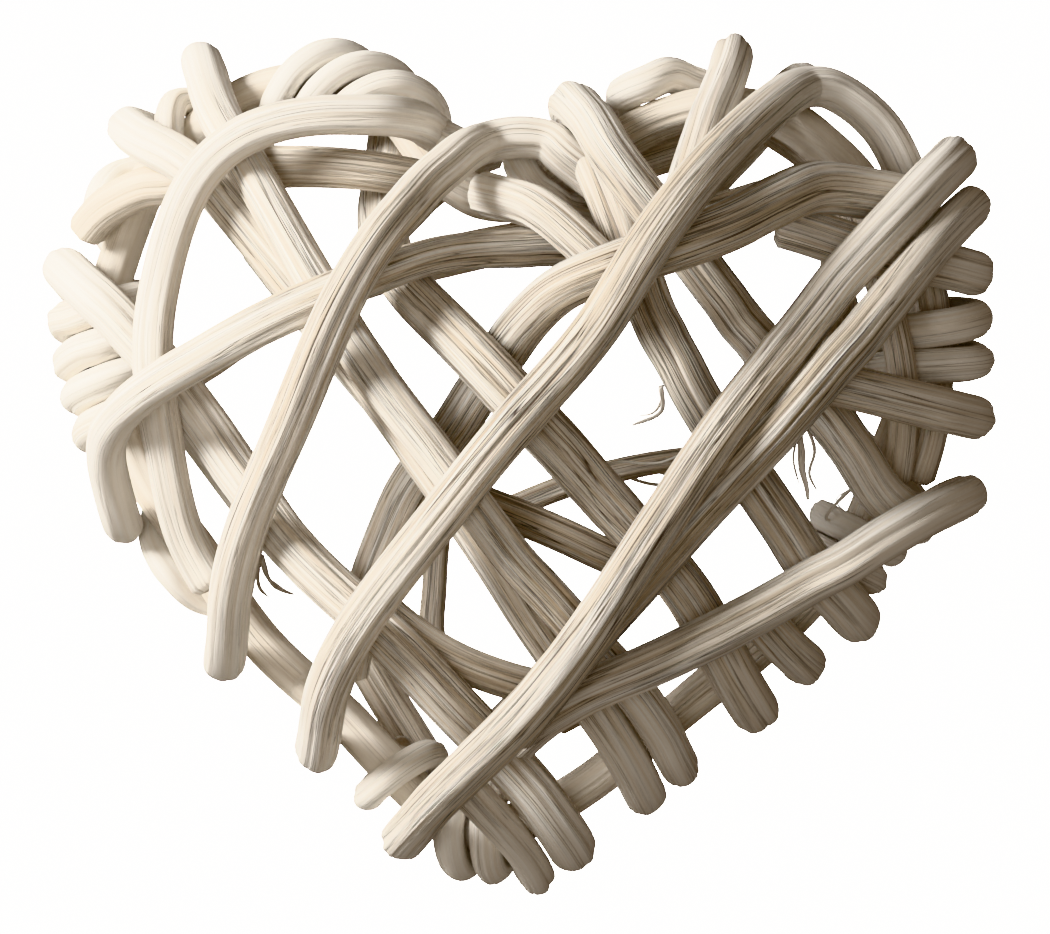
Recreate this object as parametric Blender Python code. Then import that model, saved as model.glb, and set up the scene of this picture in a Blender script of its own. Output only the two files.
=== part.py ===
"""Wicker heart decoration: a hollow, puffed heart woven from bleached willow canes.

The heart lies on its back.  X runs across the two lobes, +Y points to the notch
between them, +Z from the back up to the front.  The origin is under the middle
of the whole heart, in the plane that it lies on.
"""
import math
import bpy
import bmesh
import numpy as np

# ---------------------------------------------------------------- dimensions
MM = 0.001
CANE_R = 2.45          # radius of an ordinary cane (mm)
HOOP_R = 2.40          # radius of the cane bent into the rim hoop
HOOP_INSET = 6.5       # axis of the hoop, inside the outer edge
LOOP_INSET = 2.2       # axis of a cane where it turns round the rim
GAP = 0.30             # least clearance between the surfaces of two canes
RIM_Z = 27.0           # height of the rim hoop above the resting plane
FRONT_H = 24.5         # rise of the cage in front of the rim
BACK_H = 24.0          # depth of the cage behind the rim
FRONT_P = (2.3, 1.62)  # fullness of the front: across, and towards the rim
BACK_P = (3.0, 1.75)   # the back is flatter and fuller, so that it rests wide
REST_Z = 1.95          # axis height of a cane that lies on the resting plane
CAD_SHRINK = 0.16      # the faceted canes are this much thinner than the real ones
SIDES = 6              # facets round a cane
STEP = 2.4             # spacing of the points while the weave is tightened
MIDDLE = (-2.498, 0.369)   # middle of the woven heart in plan, moved to the origin

# ------------------------------------------------- the front view of the heart
# Courses are given as seen in a front view, 1050 wide and 934 high, x to the
# right and y down, taken from a little to the right of straight above.
VIEW_C = (525.0, 467.0)
VIEW_DIST = 430.0      # mm from the eye to the middle of the heart
VIEW_TILT = math.radians(14.0)
VIEW_SCALE = 8.2       # units of the view per mm at the middle of the heart

_d = np.array([math.sin(VIEW_TILT), 0.0, math.cos(VIEW_TILT)])
_x = np.array([math.cos(VIEW_TILT), 0.0, -math.sin(VIEW_TILT)])
_y = np.array([0.0, 1.0, 0.0])
EYE = np.array([0.0, 0.0, RIM_Z]) + VIEW_DIST * _d


def rays(q):
    """Unit directions from the eye through points q of the front view."""
    q = np.asarray(q, float)
    f = VIEW_SCALE * VIEW_DIST
    v = ((q[:, 0] - VIEW_C[0]) / f)[:, None] * _x - ((q[:, 1] - VIEW_C[1]) / f)[:, None] * _y - _d
    return v / np.linalg.norm(v, axis=1)[:, None]


def rays_to(p):
    v = p - EYE
    return v / np.linalg.norm(v, axis=1)[:, None]


# ------------------------------------------------------------------- splines
def cubic(t, y):
    """Natural cubic spline through (t, y); returns a function of t."""
    t = np.asarray(t, float)
    y = np.asarray(y, float)
    if y.ndim == 1:
        y = y[:, None]
    n = len(t)
    h = np.diff(t)
    a = np.zeros((n, n))
    b = np.zeros((n, y.shape[1]))
    a[0, 0] = a[-1, -1] = 1.0
    for i in range(1, n - 1):
        a[i, i - 1] = h[i - 1]
        a[i, i] = 2 * (h[i - 1] + h[i])
        a[i, i + 1] = h[i]
        b[i] = 6 * ((y[i + 1] - y[i]) / h[i] - (y[i] - y[i - 1]) / h[i - 1])
    m = np.linalg.solve(a, b)

    def f(u):
        u = np.asarray(u, float)
        k = np.clip(np.searchsorted(t, u) - 1, 0, n - 2)
        w = h[k][:, None]
        l = (u - t[k])[:, None]
        r = (t[k + 1] - u)[:, None]
        return (m[k] * r ** 3 / (6 * w) + m[k + 1] * l ** 3 / (6 * w)
                + (y[k] / w - m[k] * w / 6) * r + (y[k + 1] / w - m[k + 1] * w / 6) * l)
    return f


def lengths(p):
    return np.concatenate([[0.0], np.cumsum(np.linalg.norm(np.diff(p, axis=0), axis=1))])


def respace(p, step, extra=None):
    """Points evenly spaced along p; extra columns are carried along."""
    s = lengths(p)
    n = max(3, int(round(s[-1] / step)) + 1)
    u = np.linspace(0, s[-1], n)
    out = np.stack([np.interp(u, s, p[:, k]) for k in range(p.shape[1])], 1)
    if extra is None:
        return out
    return out, np.stack([np.interp(u, s, extra[:, k]) for k in range(extra.shape[1])], 1)


def soften(p, times, closed=False):
    p = p.copy()
    for _ in range(times):
        if closed:
            p = 0.5 * p + 0.25 * (np.roll(p, 1, 0) + np.roll(p, -1, 0))
        else:
            p[1:-1] = 0.5 * p[1:-1] + 0.25 * (p[:-2] + p[2:])
    return p


# --------------------------------------------------------------- the outline
# Outer edge of the heart in the front view, clockwise from the notch.
EDGE = [(500, 150), (545, 124), (600, 96), (665, 68), (735, 56), (800, 66), (854, 92),
        (908, 132), (950, 194), (988, 255), (1001, 328), (991, 412), (957, 484), (917, 562),
        (867, 624), (800, 688), (735, 742), (660, 804), (590, 848), (535, 871), (495, 879),
        (450, 874), (400, 840), (325, 768), (225, 678), (155, 580), (100, 500), (73, 415),
        (53, 330), (66, 249), (83, 192), (108, 141), (151, 103), (204, 60), (258, 37),
        (315, 31), (371, 42), (427, 72), (466, 120)]
CENTRE = np.array([0.0, 2.0])


def outline():
    """The middle line of the rim hoop in plan, as points."""
    q = np.array(EDGE + EDGE[:3], float)
    v = rays(q)
    t = (RIM_Z - EYE[2]) / v[:, 2]
    p = (EYE + t[:, None] * v)[:, :2]
    s = lengths(p)
    f = cubic(s, p)
    m = len(EDGE)
    u = np.linspace(s[1], s[1 + m], 721)[:-1]
    c = soften(f(u), 18, True)
    tan = np.roll(c, -1, 0) - np.roll(c, 1, 0)
    tan /= np.linalg.norm(tan, axis=1)[:, None]
    nor = np.stack([tan[:, 1], -tan[:, 0]], 1)
    if ((c - c.mean(0)) * nor).sum() < 0:
        nor = -nor
    c = soften(c - HOOP_INSET * nor, 14, True)
    k = int(np.argmin(np.linalg.norm(c - np.array([-30.0, -28.0]), axis=1)))
    return np.roll(c, -k, 0)


HOOP = outline()
_hth = np.arctan2(HOOP[:, 1] - CENTRE[1], HOOP[:, 0] - CENTRE[0])
_hr = np.linalg.norm(HOOP - CENTRE, axis=1)
_o = np.argsort(_hth)
_TH = np.concatenate([_hth[_o] - 2 * math.pi, _hth[_o], _hth[_o] + 2 * math.pi])
_RR = np.tile(_hr[_o], 3)
LAP = HOOP_INSET - LOOP_INSET      # drawn outwards by the hoop where canes turn round it


def cage(p):
    """Negative inside the closed surface that the canes' axes lie on."""
    d = p[..., :2] - CENTRE
    r = np.hypot(d[..., 0], d[..., 1])
    th = np.arctan2(d[..., 1], d[..., 0])
    rho = r / (np.interp(th, _TH, _RR) + LAP)
    z = p[..., 2] - RIM_Z
    front = z > 0
    h = np.where(front, FRONT_H, BACK_H)
    a = np.where(front, FRONT_P[0], BACK_P[0])
    b = np.where(front, FRONT_P[1], BACK_P[1])
    return rho ** a + (np.abs(z) / h) ** b - 1.0


def cage_normal(p):
    e = 0.4
    g = np.stack([cage(p + e * v) - cage(p - e * v) for v in np.eye(3)], -1)
    return g / np.linalg.norm(g, axis=-1)[..., None]


def cross_cage(q):
    """First and last points where the lines of sight through q meet the cage."""
    v = rays(q)
    t = np.linspace(VIEW_DIST - 80, VIEW_DIST + 80, 161)
    f = cage(EYE + t[None, :, None] * v[:, None, :])
    inside = f < 0
    hit = inside.any(1)
    i0 = np.where(hit, inside.argmax(1), 1)
    i1 = np.where(hit, inside.shape[1] - 1 - inside[:, ::-1].argmax(1), 1)
    i0 = np.clip(i0, 1, len(t) - 1)
    i1 = np.clip(i1, 0, len(t) - 2)
    out = []
    for ia, ib in ((i0 - 1, i0), (i1 + 1, i1)):      # outside, inside
        ta, tb = t[ia].copy(), t[ib].copy()
        for _ in range(18):
            tm = 0.5 * (ta + tb)
            fm = cage(EYE + tm[:, None] * v) < 0
            tb = np.where(fm, tm, tb)
            ta = np.where(fm, ta, tm)
        out.append(EYE + (0.5 * (ta + tb))[:, None] * v)
    # a line of sight that just misses takes its point nearest to the cage
    k = f.argmin(1)
    near = EYE + t[k][:, None] * v
    for m in range(2):
        out[m] = np.where(hit[:, None], out[m], near)
    return hit, out[0], out[1]


# ----------------------------------------------------------------- the canes
# name, radius, kind, course in the front view, order of laying along it.
# A higher order lies further out where two canes cross; a negative one lies
# inside the cage.  Kinds:
#   "loop"   front course, round the rim at both ends and back behind itself
#   "front"  front course; "r" at an end turns round the rim there, "f" ends free
#   "back"   the same behind the cage
CANES = [
    # canes that lean like "/"
    ("cane_arch_left", 2.35, "front ff", [(212, 588), (190, 550), (166, 455), (152, 350), (170, 250), (222, 158), (310, 120),
     (408, 128), (466, 154)], [-1, -1, -1, 0.8, 1, 1, 1.3, 2, 1.5]),
    ("cane_notch_to_left", CANE_R, "loop fr", [(612, 178), (576, 152), (526, 146), (486, 158), (440, 181), (402, 214), (366, 262), (322, 350), (284, 440),
     (250, 525), (232, 600), (229, 668)], [-2.0, -1.5, 0.2, 1.5, 2.2, 2.2, 2.2, 2.2, 2.2, 2.2, 2.2, 2.2]),
    ("cane_main_diagonal", 2.5, "loop fr", [(922, 184), (903, 142), (866, 106), (838, 90), (811, 88), (780, 103), (735, 148), (650, 255), (610, 315), (520, 420),
     (440, 520), (365, 620), (323, 735), (325, 765)], [-0.6, 0.3, 1.2, 1.8, 2.4, 2.8, 2.8, 2.8, 2.8, 2.8, 2.8, 2.8, 2.8, 2.8]),
    ("cane_sweep_left", CANE_R, "front fr", [(672, 231), (636, 240), (545, 236), (500, 244), (450, 254), (400, 270), (250, 334),
     (160, 386), (120, 430), (117, 476), (134, 520)], [-1, -1, -0.6, 1, 1.5, 1.5, 1.5, 1.5, 1.5, 1.5, 1.5]),
    ("cane_sweep_right", (3.0, 2.35), "front ff", [(928, 200), (880, 192), (800, 192), (660, 238), (580, 275), (475, 382),
     (445, 435), (405, 490), (385, 540), (368, 585), (345, 680)], [0.6, 1.3, 1.5, 1.5, 1.5, -1, -1, -1, -1, -1, -1]),
    ("cane_long_diagonal_a", 2.55, "loop", [(930, 150), (920, 174), (880, 243), (760, 394), (643, 550), (530, 706), (450, 787),
     (398, 842)], 3.2),
    ("cane_long_diagonal_b", CANE_R, "front rf", [(966, 200), (934, 233), (809, 380), (580, 655), (515, 738)], 2.5),
    ("cane_low_sweep", CANE_R, "front rf", [(956, 462), (930, 489), (899, 516), (850, 550), (740, 618), (620, 668), (528, 723), (506, 745)],
     [0.6, 1.2, 1.6, 1.5, 1.5, 1.5, 1, 1]),
    ("cane_right_lobe", CANE_R, "front rf", [(738, 56), (716, 98), (697, 155), (677, 222)], [1, 1, 1.2, 1.2]),
    # canes that lean like "\\"
    ("cane_left_edge", 2.75, "loop", [(64, 236), (80, 262), (240, 487), (300, 560), (390, 640), (440, 690), (540, 797), (580, 857)], 0),
    ("cane_pair_a", CANE_R, "loop", [(203, 68), (215, 110), (235, 148), (390, 398), (428, 447), (590, 657), (640, 712), (684, 785)], 0),
    ("cane_pair_b", CANE_R, "loop", [(116, 132), (198, 168), (232, 205), (302, 294), (455, 501), (567, 662), (632, 760),
     (650, 804)], [0, 0, -0.3, -1, -1, -1, 0, 0]),
    ("cane_centre", 2.85, "front fr", [(408, 118), (408, 150), (388, 235), (440, 310), (632, 530), (690, 597),
     (720, 650), (762, 722)], [-1, -1, -1, 0, 0, 0, 0, 0]),
    ("cane_notch_short", CANE_R, "front ff", [(478, 183), (530, 206), (575, 238), (622, 282)], 1),
    ("cane_right_a", 2.6, "loop", [(568, 116), (645, 202), (700, 262), (780, 362), (830, 412), (905, 507), (926, 530)], 0),
    ("cane_right_b", 2.75, "front fr", [(600, 160), (632, 232), (666, 342), (760, 492), (800, 546), (842, 590), (866, 621)], [-0.4, 0, 0, 0, 0, 0, 0]),
    ("cane_right_short", CANE_R, "front fr", [(752, 608), (768, 628), (818, 674)], [-0.6, -0.5, 0]),
    ("cane_right_tie_high", 2.6, "front fr", [(782, 213), (880, 249), (945, 262), (988, 275)], [-0.6, 0.4, 0.8, 0.8]),
    ("cane_right_tie_low", CANE_R, "front fr", [(800, 377), (930, 406), (986, 420)], 1),
    # canes that show through the weave
    ("cane_left_inner", CANE_R, "front ff", [(86, 244), (108, 216), (165, 182), (290, 162), (432, 181)], -1),
    ("cane_mid_inner_a", 1.95, "front ff", [(445, 490), (540, 527), (650, 576)], -1),
    ("cane_mid_inner_b", 1.4, "back ff", [(505, 512), (620, 470), (735, 455)], -1),
    ("cane_low_inner_a", 1.5, "back ff", [(447, 515), (436, 600), (430, 700)], -1),
    ("cane_low_inner_b", 2.1, "front ff", [(372, 606), (435, 656), (575, 700)], -1),
    ("cane_low_inner_c", 2.3, "back ff", [(345, 625), (385, 700), (440, 790)], -1),
    ("cane_right_inner_a", 1.65, "front ff", [(878, 240), (912, 380), (901, 492)], -1),
    ("cane_right_inner_b", 1.75, "back ff", [(752, 118), (815, 158), (847, 200), (836, 270), (826, 350)], -1),
    ("cane_right_inner_c", 1.75, "front ff", [(922, 240), (941, 340), (915, 500)], -1),
    ("cane_right_inner_e", 2.6, "back ff", [(772, 106), (830, 148), (893, 268)], -1),
    ("cane_right_inner_d", 2.2, "back ff", [(520, 205), (548, 192), (600, 152), (706, 112)], -1),
    ("cane_tip_short", 2.2, "front fr", [(445, 772), (510, 842), (530, 868)], 0),
    # canes of the back that run behind the two sweeping canes of the front
    ("cane_back_sweep", CANE_R, "back ff", [(185, 375), (280, 318), (400, 270), (545, 238), (705, 217),
     (800, 192), (860, 192)], 1.5),
    ("cane_back_low", CANE_R, "back ff", [(866, 548), (800, 588), (680, 647), (545, 712)], 1.5),
]

# Canes wound round the rim hoop between the others: name, radius, first and last
# place on the rim in the front view, turns, where round the hoop it starts (0 is
# outermost, 90 in front), and how far it swings out and back on the way.
WRAPS = [
    ("rim_wrap_left_low", 2.05, (76, 448), (50, 292), 4.0, 262, 0),
    ("rim_wrap_left_high", 1.9, (62, 240), (124, 134), 0, 270, 105),
    ("rim_wrap_left_top", 1.75, (104, 158), (190, 78), -0.85, 243, 0),
    ("rim_wrap_lobe_top_a", 1.6, (222, 62), (376, 62), -0.85, 243, 0),
    ("rim_wrap_lobe_top_b", 1.6, (264, 53), (420, 84), -0.85, 243, 0),
    ("rim_wrap_lobe_top_c", 1.6, (306, 49), (452, 112), -0.85, 243, 0),
    ("rim_wrap_right", 2.0, (1000, 296), (998, 402), 2.0, 262, 0),
    ("rim_wrap_right_low", 1.75, (920, 560), (886, 610), 2.0, 262, 0),
    ("rim_wrap_notch", 1.8, (512, 156), (545, 132), 1.0, 240, 0),
    ("rim_wrap_tip", 1.9, (508, 888), (440, 880), 2.0, 240, 0),
    ("rim_wrap_low_left", 1.6, (112, 516), (196, 640), 0, 270, 100),
    ("rim_wrap_low_left_b", 1.7, (350, 795), (378, 822), 1.0, 240, 0),
    ("rim_cane_top_a", 2.0, (586, 108), (712, 60), 0, 270, 100),
]


def on_hoop(q):
    """Arc length along the hoop nearest to the place q on the rim."""
    v = rays([q])
    t = (RIM_Z - EYE[2]) / v[0, 2]
    p = (EYE + t * v[0])[:2]
    s = lengths(np.vstack([HOOP, HOOP[:1]]))
    return s[np.argmin(np.linalg.norm(HOOP - p, axis=1))], s[-1]


def hoop_at(s):
    c = np.vstack([HOOP, HOOP[:1]])
    a = lengths(c)
    s = np.mod(s, a[-1])
    p = np.stack([np.interp(s, a, c[:, k]) for k in range(2)], 1)
    q = np.stack([np.interp(np.mod(s + 0.5, a[-1]), a, c[:, k]) for k in range(2)], 1)
    t = (q - p) / np.linalg.norm(q - p, axis=1)[:, None]
    n = np.stack([t[:, 1], -t[:, 0]], 1)
    if ((p - CENTRE) * n).sum() < 0:
        n = -n
    return p, n


def wrap_course(r, a, b, turns, start, swing):
    """A helix round the hoop."""
    sa, total = on_hoop(a)
    sb, _ = on_hoop(b)
    d = (sb - sa + total / 2) % total - total / 2
    n = int(60 * abs(turns) + abs(swing) / 3) + 1
    u = np.linspace(0, 1, n)
    ang = math.radians(start) + 2 * math.pi * turns * u + math.radians(swing) * np.sin(math.pi * u)
    p, nr = hoop_at(sa + d * u)
    rad = HOOP_R + GAP + r
    return np.column_stack([p + (rad * np.cos(ang))[:, None] * nr, RIM_Z + rad * np.sin(ang)])


def cane_course(kind, q, order):
    """Axis of a cane before tightening, with its order of laying."""
    q = np.array(q, float)
    order = np.full(len(q), float(order)) if np.isscalar(order) else np.array(order, float)
    kind, _, ends = kind.partition(" ")
    ends = ends or "rr"
    s = lengths(q)
    u = np.arange(0, s[-1], 1.0)
    d = cubic(s, q)(u)
    o = np.interp(u, s, order)
    e0, e1 = d[0] - d[6], d[-1] - d[-7]
    e0, e1 = e0 / np.linalg.norm(e0), e1 / np.linalg.norm(e1)
    # run both ends on past the edge, to find where the cane turns round the rim
    k = np.arange(1, 61)[:, None]
    ext0, ext1 = d[0] + e0 * k[::-1], d[-1] + e1 * k
    full = np.vstack([ext0, d, ext1])
    ofull = np.concatenate([np.full(60, o[0]), o, np.full(60, o[-1])])
    hit, front, back = cross_cage(full)
    n = len(full)
    i0, i1 = 60, n - 61
    reach0, reach1 = ends[0] == "r", ends[1] == "r"
    if reach0:                   # trimmed back, or run on, to the turn at the rim
        i0 = 60 + int(hit[60:].argmax())
        while i0 > 0 and hit[i0 - 1]:
            i0 -= 1
    if reach1:
        i1 = n - 61 - int(hit[:n - 60][::-1].argmax())
        while i1 < n - 1 and hit[i1 + 1]:
            i1 += 1
    f, b, w = front[i0:i1 + 1], back[i0:i1 + 1], ofull[i0:i1 + 1]
    if kind == "back":
        f, b = b, f
    # the far side, entered from the end of the near side
    tuck = 16.0
    parts, orders = [f], [w]
    turns = []
    if reach1:
        rb = b[::-1]
        sb = lengths(np.vstack([f[-1:], rb]))[1:]
        stop = sb[-1] - (tuck + 9.0) if kind == "loop" else tuck
        keep = sb < stop
        parts.append(rb[keep])
        orders.append(w[::-1][keep])
    if reach0:
        sb = lengths(np.vstack([f[:1], b]))[1:]
        keep = sb < tuck
        parts.insert(0, b[keep][::-1])
        orders.insert(0, w[keep][::-1])
        turns.append(lengths(np.vstack(parts[:2]))[keep.sum()])
    if reach1:
        n1 = len(np.vstack(parts[:2 if reach0 else 1]))
        turns.append(lengths(np.vstack(parts))[n1])
    p = np.vstack(parts)
    o = np.concatenate(orders)
    # how far each point is from a turn at the rim
    away = np.full(len(p), 99.0)
    for t in turns:
        away = np.minimum(away, np.abs(lengths(p) - t))
    p, o = respace(p, 1.0, np.column_stack([o, away]))
    p = soften(p, 10)
    return respace(p, STEP, o)


def taper(r, n):
    """Radius at each of n points of a cane; a pair of radii tapers evenly."""
    return np.full(n, float(r)) if np.isscalar(r) else np.linspace(r[0], r[1], n)


def build_courses():
    names, radii, paths, orders, aways = [], [], [], [], []
    hp = np.column_stack([HOOP, np.full(len(HOOP), RIM_Z)])
    hp = respace(np.vstack([hp, hp[:1]]), STEP)
    names.append("rim_hoop")
    radii.append(taper(HOOP_R, len(hp)))
    paths.append(hp)
    orders.append(np.zeros(len(hp)))
    aways.append(np.zeros(len(hp)))
    for name, r, kind, q, order in CANES:
        p, o = cane_course(kind, q, order)
        names.append(name)
        radii.append(taper(r, len(p)))
        paths.append(p)
        orders.append(o[:, 0])
        aways.append(o[:, 1])
    for name, r, a, b, turns, start, swing in WRAPS:
        p = respace(wrap_course(r, a, b, turns, start, swing), 1.7)
        names.append(name)
        radii.append(taper(r, len(p)))
        paths.append(p)
        orders.append(np.full(len(p), np.nan))
        aways.append(np.zeros(len(p)))
    return names, radii, paths, orders, aways


# ------------------------------------------------------- tightening the weave
def near_pairs(mid, strand, local, reach):
    """Pairs of segments of different canes, or far apart on one, within reach."""
    out_i, out_j = [], []
    n = len(mid)
    for a in range(0, n, 400):
        d = np.linalg.norm(mid[a:a + 400, None, :] - mid[None, :, :], axis=2)
        i, j = np.nonzero(d < reach)
        i = i + a
        ok = (i < j) & ((strand[i] != strand[j]) | ((np.abs(local[i] - local[j]) > 9) & (strand[i] > 0)))
        out_i.append(i[ok])
        out_j.append(j[ok])
    return np.concatenate(out_i), np.concatenate(out_j)


def closest(p, d1, q, d2):
    """Parameters of the closest points of segments p+s*d1 and q+t*d2."""
    r = p - q
    a = (d1 * d1).sum(1)
    e = (d2 * d2).sum(1)
    f = (d2 * r).sum(1)
    c = (d1 * r).sum(1)
    b = (d1 * d2).sum(1)
    den = a * e - b * b
    s = np.where(den > 1e-9, np.clip((b * f - c * e) / np.maximum(den, 1e-9), 0, 1), 0.5)
    t = (b * s + f) / e
    t2 = np.clip(t, 0, 1)
    s = np.clip((b * t2 - c) / a, 0, 1)
    t = np.clip((b * s + f) / e, 0, 1)
    return s, t


def tighten(radii, paths, orders, aways, rounds=260):
    """Draw the canes in against the cage and each other, keeping their order."""
    sizes = [len(p) for p in paths]
    first = np.concatenate([[0], np.cumsum(sizes)])
    strand = np.repeat(np.arange(len(paths)), sizes)
    local = np.concatenate([np.arange(n) for n in sizes])
    base = np.vstack(paths)
    rad = np.concatenate(radii)
    order = np.concatenate(orders)
    wrap = np.isnan(order)
    nor = cage_normal(base)
    sight = rays_to(base)
    face = (nor * sight).sum(1)          # +1 facing away from the eye, -1 towards it
    above = base[:, 2] - RIM_Z
    off = np.clip((np.concatenate(aways) - 1.5) / 4.0, 0.0, 1.0)
    side_of = np.where(above > 0, -1.0, 1.0)                   # towards the eye in front
    nor = (1.0 - 0.9 * off)[:, None] * nor + (off * side_of)[:, None] * sight
    nor /= np.linalg.norm(nor, axis=1)[:, None]
    ring = strand == 0
    mass = np.where(ring, 0.2, 1.0)
    # a wrap goes with the piece of the hoop that it is wound on
    anchor = np.arange(len(base))
    wi = np.nonzero(wrap)[0]
    for i in wi:
        anchor[i] = np.argmin(((base[:first[1], :2] - base[i, :2]) ** 2).sum(1))
    lift = np.where(wrap, 0.0, np.nan_to_num(order)) * 5.4
    lift *= np.where(lift > 0, np.maximum(off, 0.15), 1.0)
    # canes of negative order stay inside the cage's surface, a cane's width down
    aim = np.where(order < 0, np.maximum(order, -1.0) * 4.6, 0.0)
    aim = np.where(wrap, 0.0, aim)
    ahead = nor + (2.0 * off * side_of)[:, None] * sight
    ahead /= np.linalg.norm(ahead, axis=1)[:, None]
    u = lift[:, None] * ahead
    seg = np.nonzero(strand[:-1] == strand[1:])[0]
    seg_strand = strand[seg]
    kern = {0: 1.0, 1: 0.93, 2: 0.75, 3: 0.52, 4: 0.3, 5: 0.13}
    pairs = None
    lo, hi = first[strand], first[strand + 1] - 1
    idx = np.arange(len(base))
    prev = np.maximum(idx - 1, lo)
    nxt = np.minimum(idx + 1, hi)
    for it in range(rounds):
        last = it > rounds - 50
        if not last:
            # pull in towards the cage along its normal, and sideways to the course
            rel = u - np.where(wrap[:, None], u[anchor], 0.0)
            un = (rel * nor).sum(1)
            side = rel - un[:, None] * nor
            kn = np.where(wrap, 0.25, 0.03 if it < 110 else 0.01)
            kt = np.where(wrap, 0.25, 0.16)
            u = u - kn[:, None] * (un - aim)[:, None] * nor - kt[:, None] * side
            sm = 0.5 * u + 0.25 * (u[prev] + u[nxt])
            sm = np.where((idx == lo)[:, None], u * 0.5 + u[nxt] * 0.5, sm)
            sm = np.where((idx == hi)[:, None], u * 0.5 + u[prev] * 0.5, sm)
            u = sm
            u[hi[0]] = u[0] = 0.5 * (u[0] + u[hi[0]])
        pos = base + u
        low = REST_Z - pos[:, 2]
        u[:, 2] += np.maximum(low, 0)
        pos = base + u
        if it % 10 == 0:
            mid = 0.5 * (pos[seg] + pos[seg + 1])
            pairs = near_pairs(mid, seg_strand, local[seg], 10.5)
        i, j = seg[pairs[0]], seg[pairs[1]]
        d1, d2 = pos[i + 1] - pos[i], pos[j + 1] - pos[j]
        s, t = closest(pos[i], d1, pos[j], d2)
        w = (pos[i] + s[:, None] * d1) - (pos[j] + t[:, None] * d2)
        dist = np.linalg.norm(w, axis=1)
        need = rad[i] + rad[j] + GAP
        over = need - dist
        act = over > 0
        if act.any():
            i, j, w, dist, over = i[act], j[act], w[act], dist[act], over[act]
            dirn = w / np.maximum(dist, 1e-6)[:, None]
            mi, mj = mass[i], mass[j]
            tot = np.maximum(mi + mj, 1e-9)
            gi, gj = over * mi / tot, over * mj / tot
            acc = np.zeros_like(u)
            wt = np.zeros(len(u))
            for a, g, sg in ((i, gi, 1.0), (j, gj, -1.0)):
                for k in range(-5, 7):
                    kk = a + k
                    ok = (kk >= lo[a]) & (kk <= hi[a])
                    kw = kern[min(abs(k), abs(k - 1))]
                    near = kw * np.where(wrap[a] & (min(abs(k), abs(k - 1)) > 1), 0.15, 1.0)
                    np.add.at(acc, kk[ok], (sg * (near * g * over)[:, None] * dirn)[ok])
                    np.add.at(wt, kk[ok], (over * near)[ok])
            # weighted mean push, spread smoothly along the cane
            peak = np.zeros(len(u))
            for a, g in ((i, gi), (j, gj)):
                for k in range(-5, 7):
                    kk = a + k
                    ok = (kk >= lo[a]) & (kk <= hi[a])
                    kw = kern[min(abs(k), abs(k - 1))]
                    near = kw * np.where(wrap[a] & (min(abs(k), abs(k - 1)) > 1), 0.15, 1.0)
                    np.maximum.at(peak, kk[ok], near[ok])
            push = acc / np.maximum(wt, 1e-9)[:, None] * np.minimum(1.0, peak)[:, None]
            u = u + 0.9 * push
            u[hi[0]] = u[0] = 0.5 * (u[0] + u[hi[0]])
    pos = base + u
    return [pos[first[k]:first[k + 1]] for k in range(len(paths))]


def worst_gap(radii, paths):
    sizes = [len(p) for p in paths]
    strand = np.repeat(np.arange(len(paths)), sizes)
    local = np.concatenate([np.arange(n) for n in sizes])
    pos = np.vstack(paths)
    rad = np.concatenate(radii)
    seg = np.nonzero(strand[:-1] == strand[1:])[0]
    mid = 0.5 * (pos[seg] + pos[seg + 1])
    a, b = near_pairs(mid, strand[seg], local[seg], 10.5)
    i, j = seg[a], seg[b]
    d1, d2 = pos[i + 1] - pos[i], pos[j + 1] - pos[j]
    s, t = closest(pos[i], d1, pos[j], d2)
    w = (pos[i] + s[:, None] * d1) - (pos[j] + t[:, None] * d2)
    return strand[i], strand[j], np.linalg.norm(w, axis=1) - rad[i] - rad[j], pos[i]


# --------------------------------------------------------------- cane solids
def thin_out(p, r, tol, longest):
    """Fewest points that keep the course within tol (Douglas-Peucker)."""
    keep = np.zeros(len(p), bool)
    keep[0] = keep[-1] = True
    stack = [(0, len(p) - 1)]
    while stack:
        a, b = stack.pop()
        if b - a < 2:
            continue
        ab = p[b] - p[a]
        l2 = max((ab * ab).sum(), 1e-9)
        t = np.clip(((p[a:b + 1] - p[a]) * ab).sum(1) / l2, 0, 1)
        d = np.linalg.norm(p[a:b + 1] - (p[a] + t[:, None] * ab), axis=1)
        k = int(d.argmax())
        if d[k] > tol or math.sqrt(l2) > longest:
            if k == 0 or k == b - a:
                k = (b - a) // 2
            keep[a + k] = True
            stack += [(a, a + k), (a + k, b)]
    return p[keep], r[keep]


def frames(p, closed=False, out=None):
    """Two cross directions at each point, turned to face out or carried along without twist."""
    if closed:
        t = np.roll(p, -1, 0) - np.roll(p, 1, 0)
    else:
        t = np.empty_like(p)
        e = np.diff(p, axis=0)
        e /= np.linalg.norm(e, axis=1)[:, None]
        t[0], t[-1] = e[0], e[-1]
        t[1:-1] = e[:-1] + e[1:]
    t /= np.linalg.norm(t, axis=1)[:, None]
    if out is not None:
        a = out - (out * t).sum(1)[:, None] * t
        a /= np.linalg.norm(a, axis=1)[:, None]
        return t, a, np.cross(t, a)
    a = np.zeros_like(p)
    ref = np.array([0, 0, 1.0]) if abs(t[0, 2]) < 0.9 else np.array([1.0, 0, 0])
    v = ref - (ref @ t[0]) * t[0]
    a[0] = v / np.linalg.norm(v)
    for i in range(1, len(p)):
        v = a[i - 1] - (a[i - 1] @ t[i]) * t[i]
        a[i] = v / np.linalg.norm(v)
    return t, a, np.cross(t, a)


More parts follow.
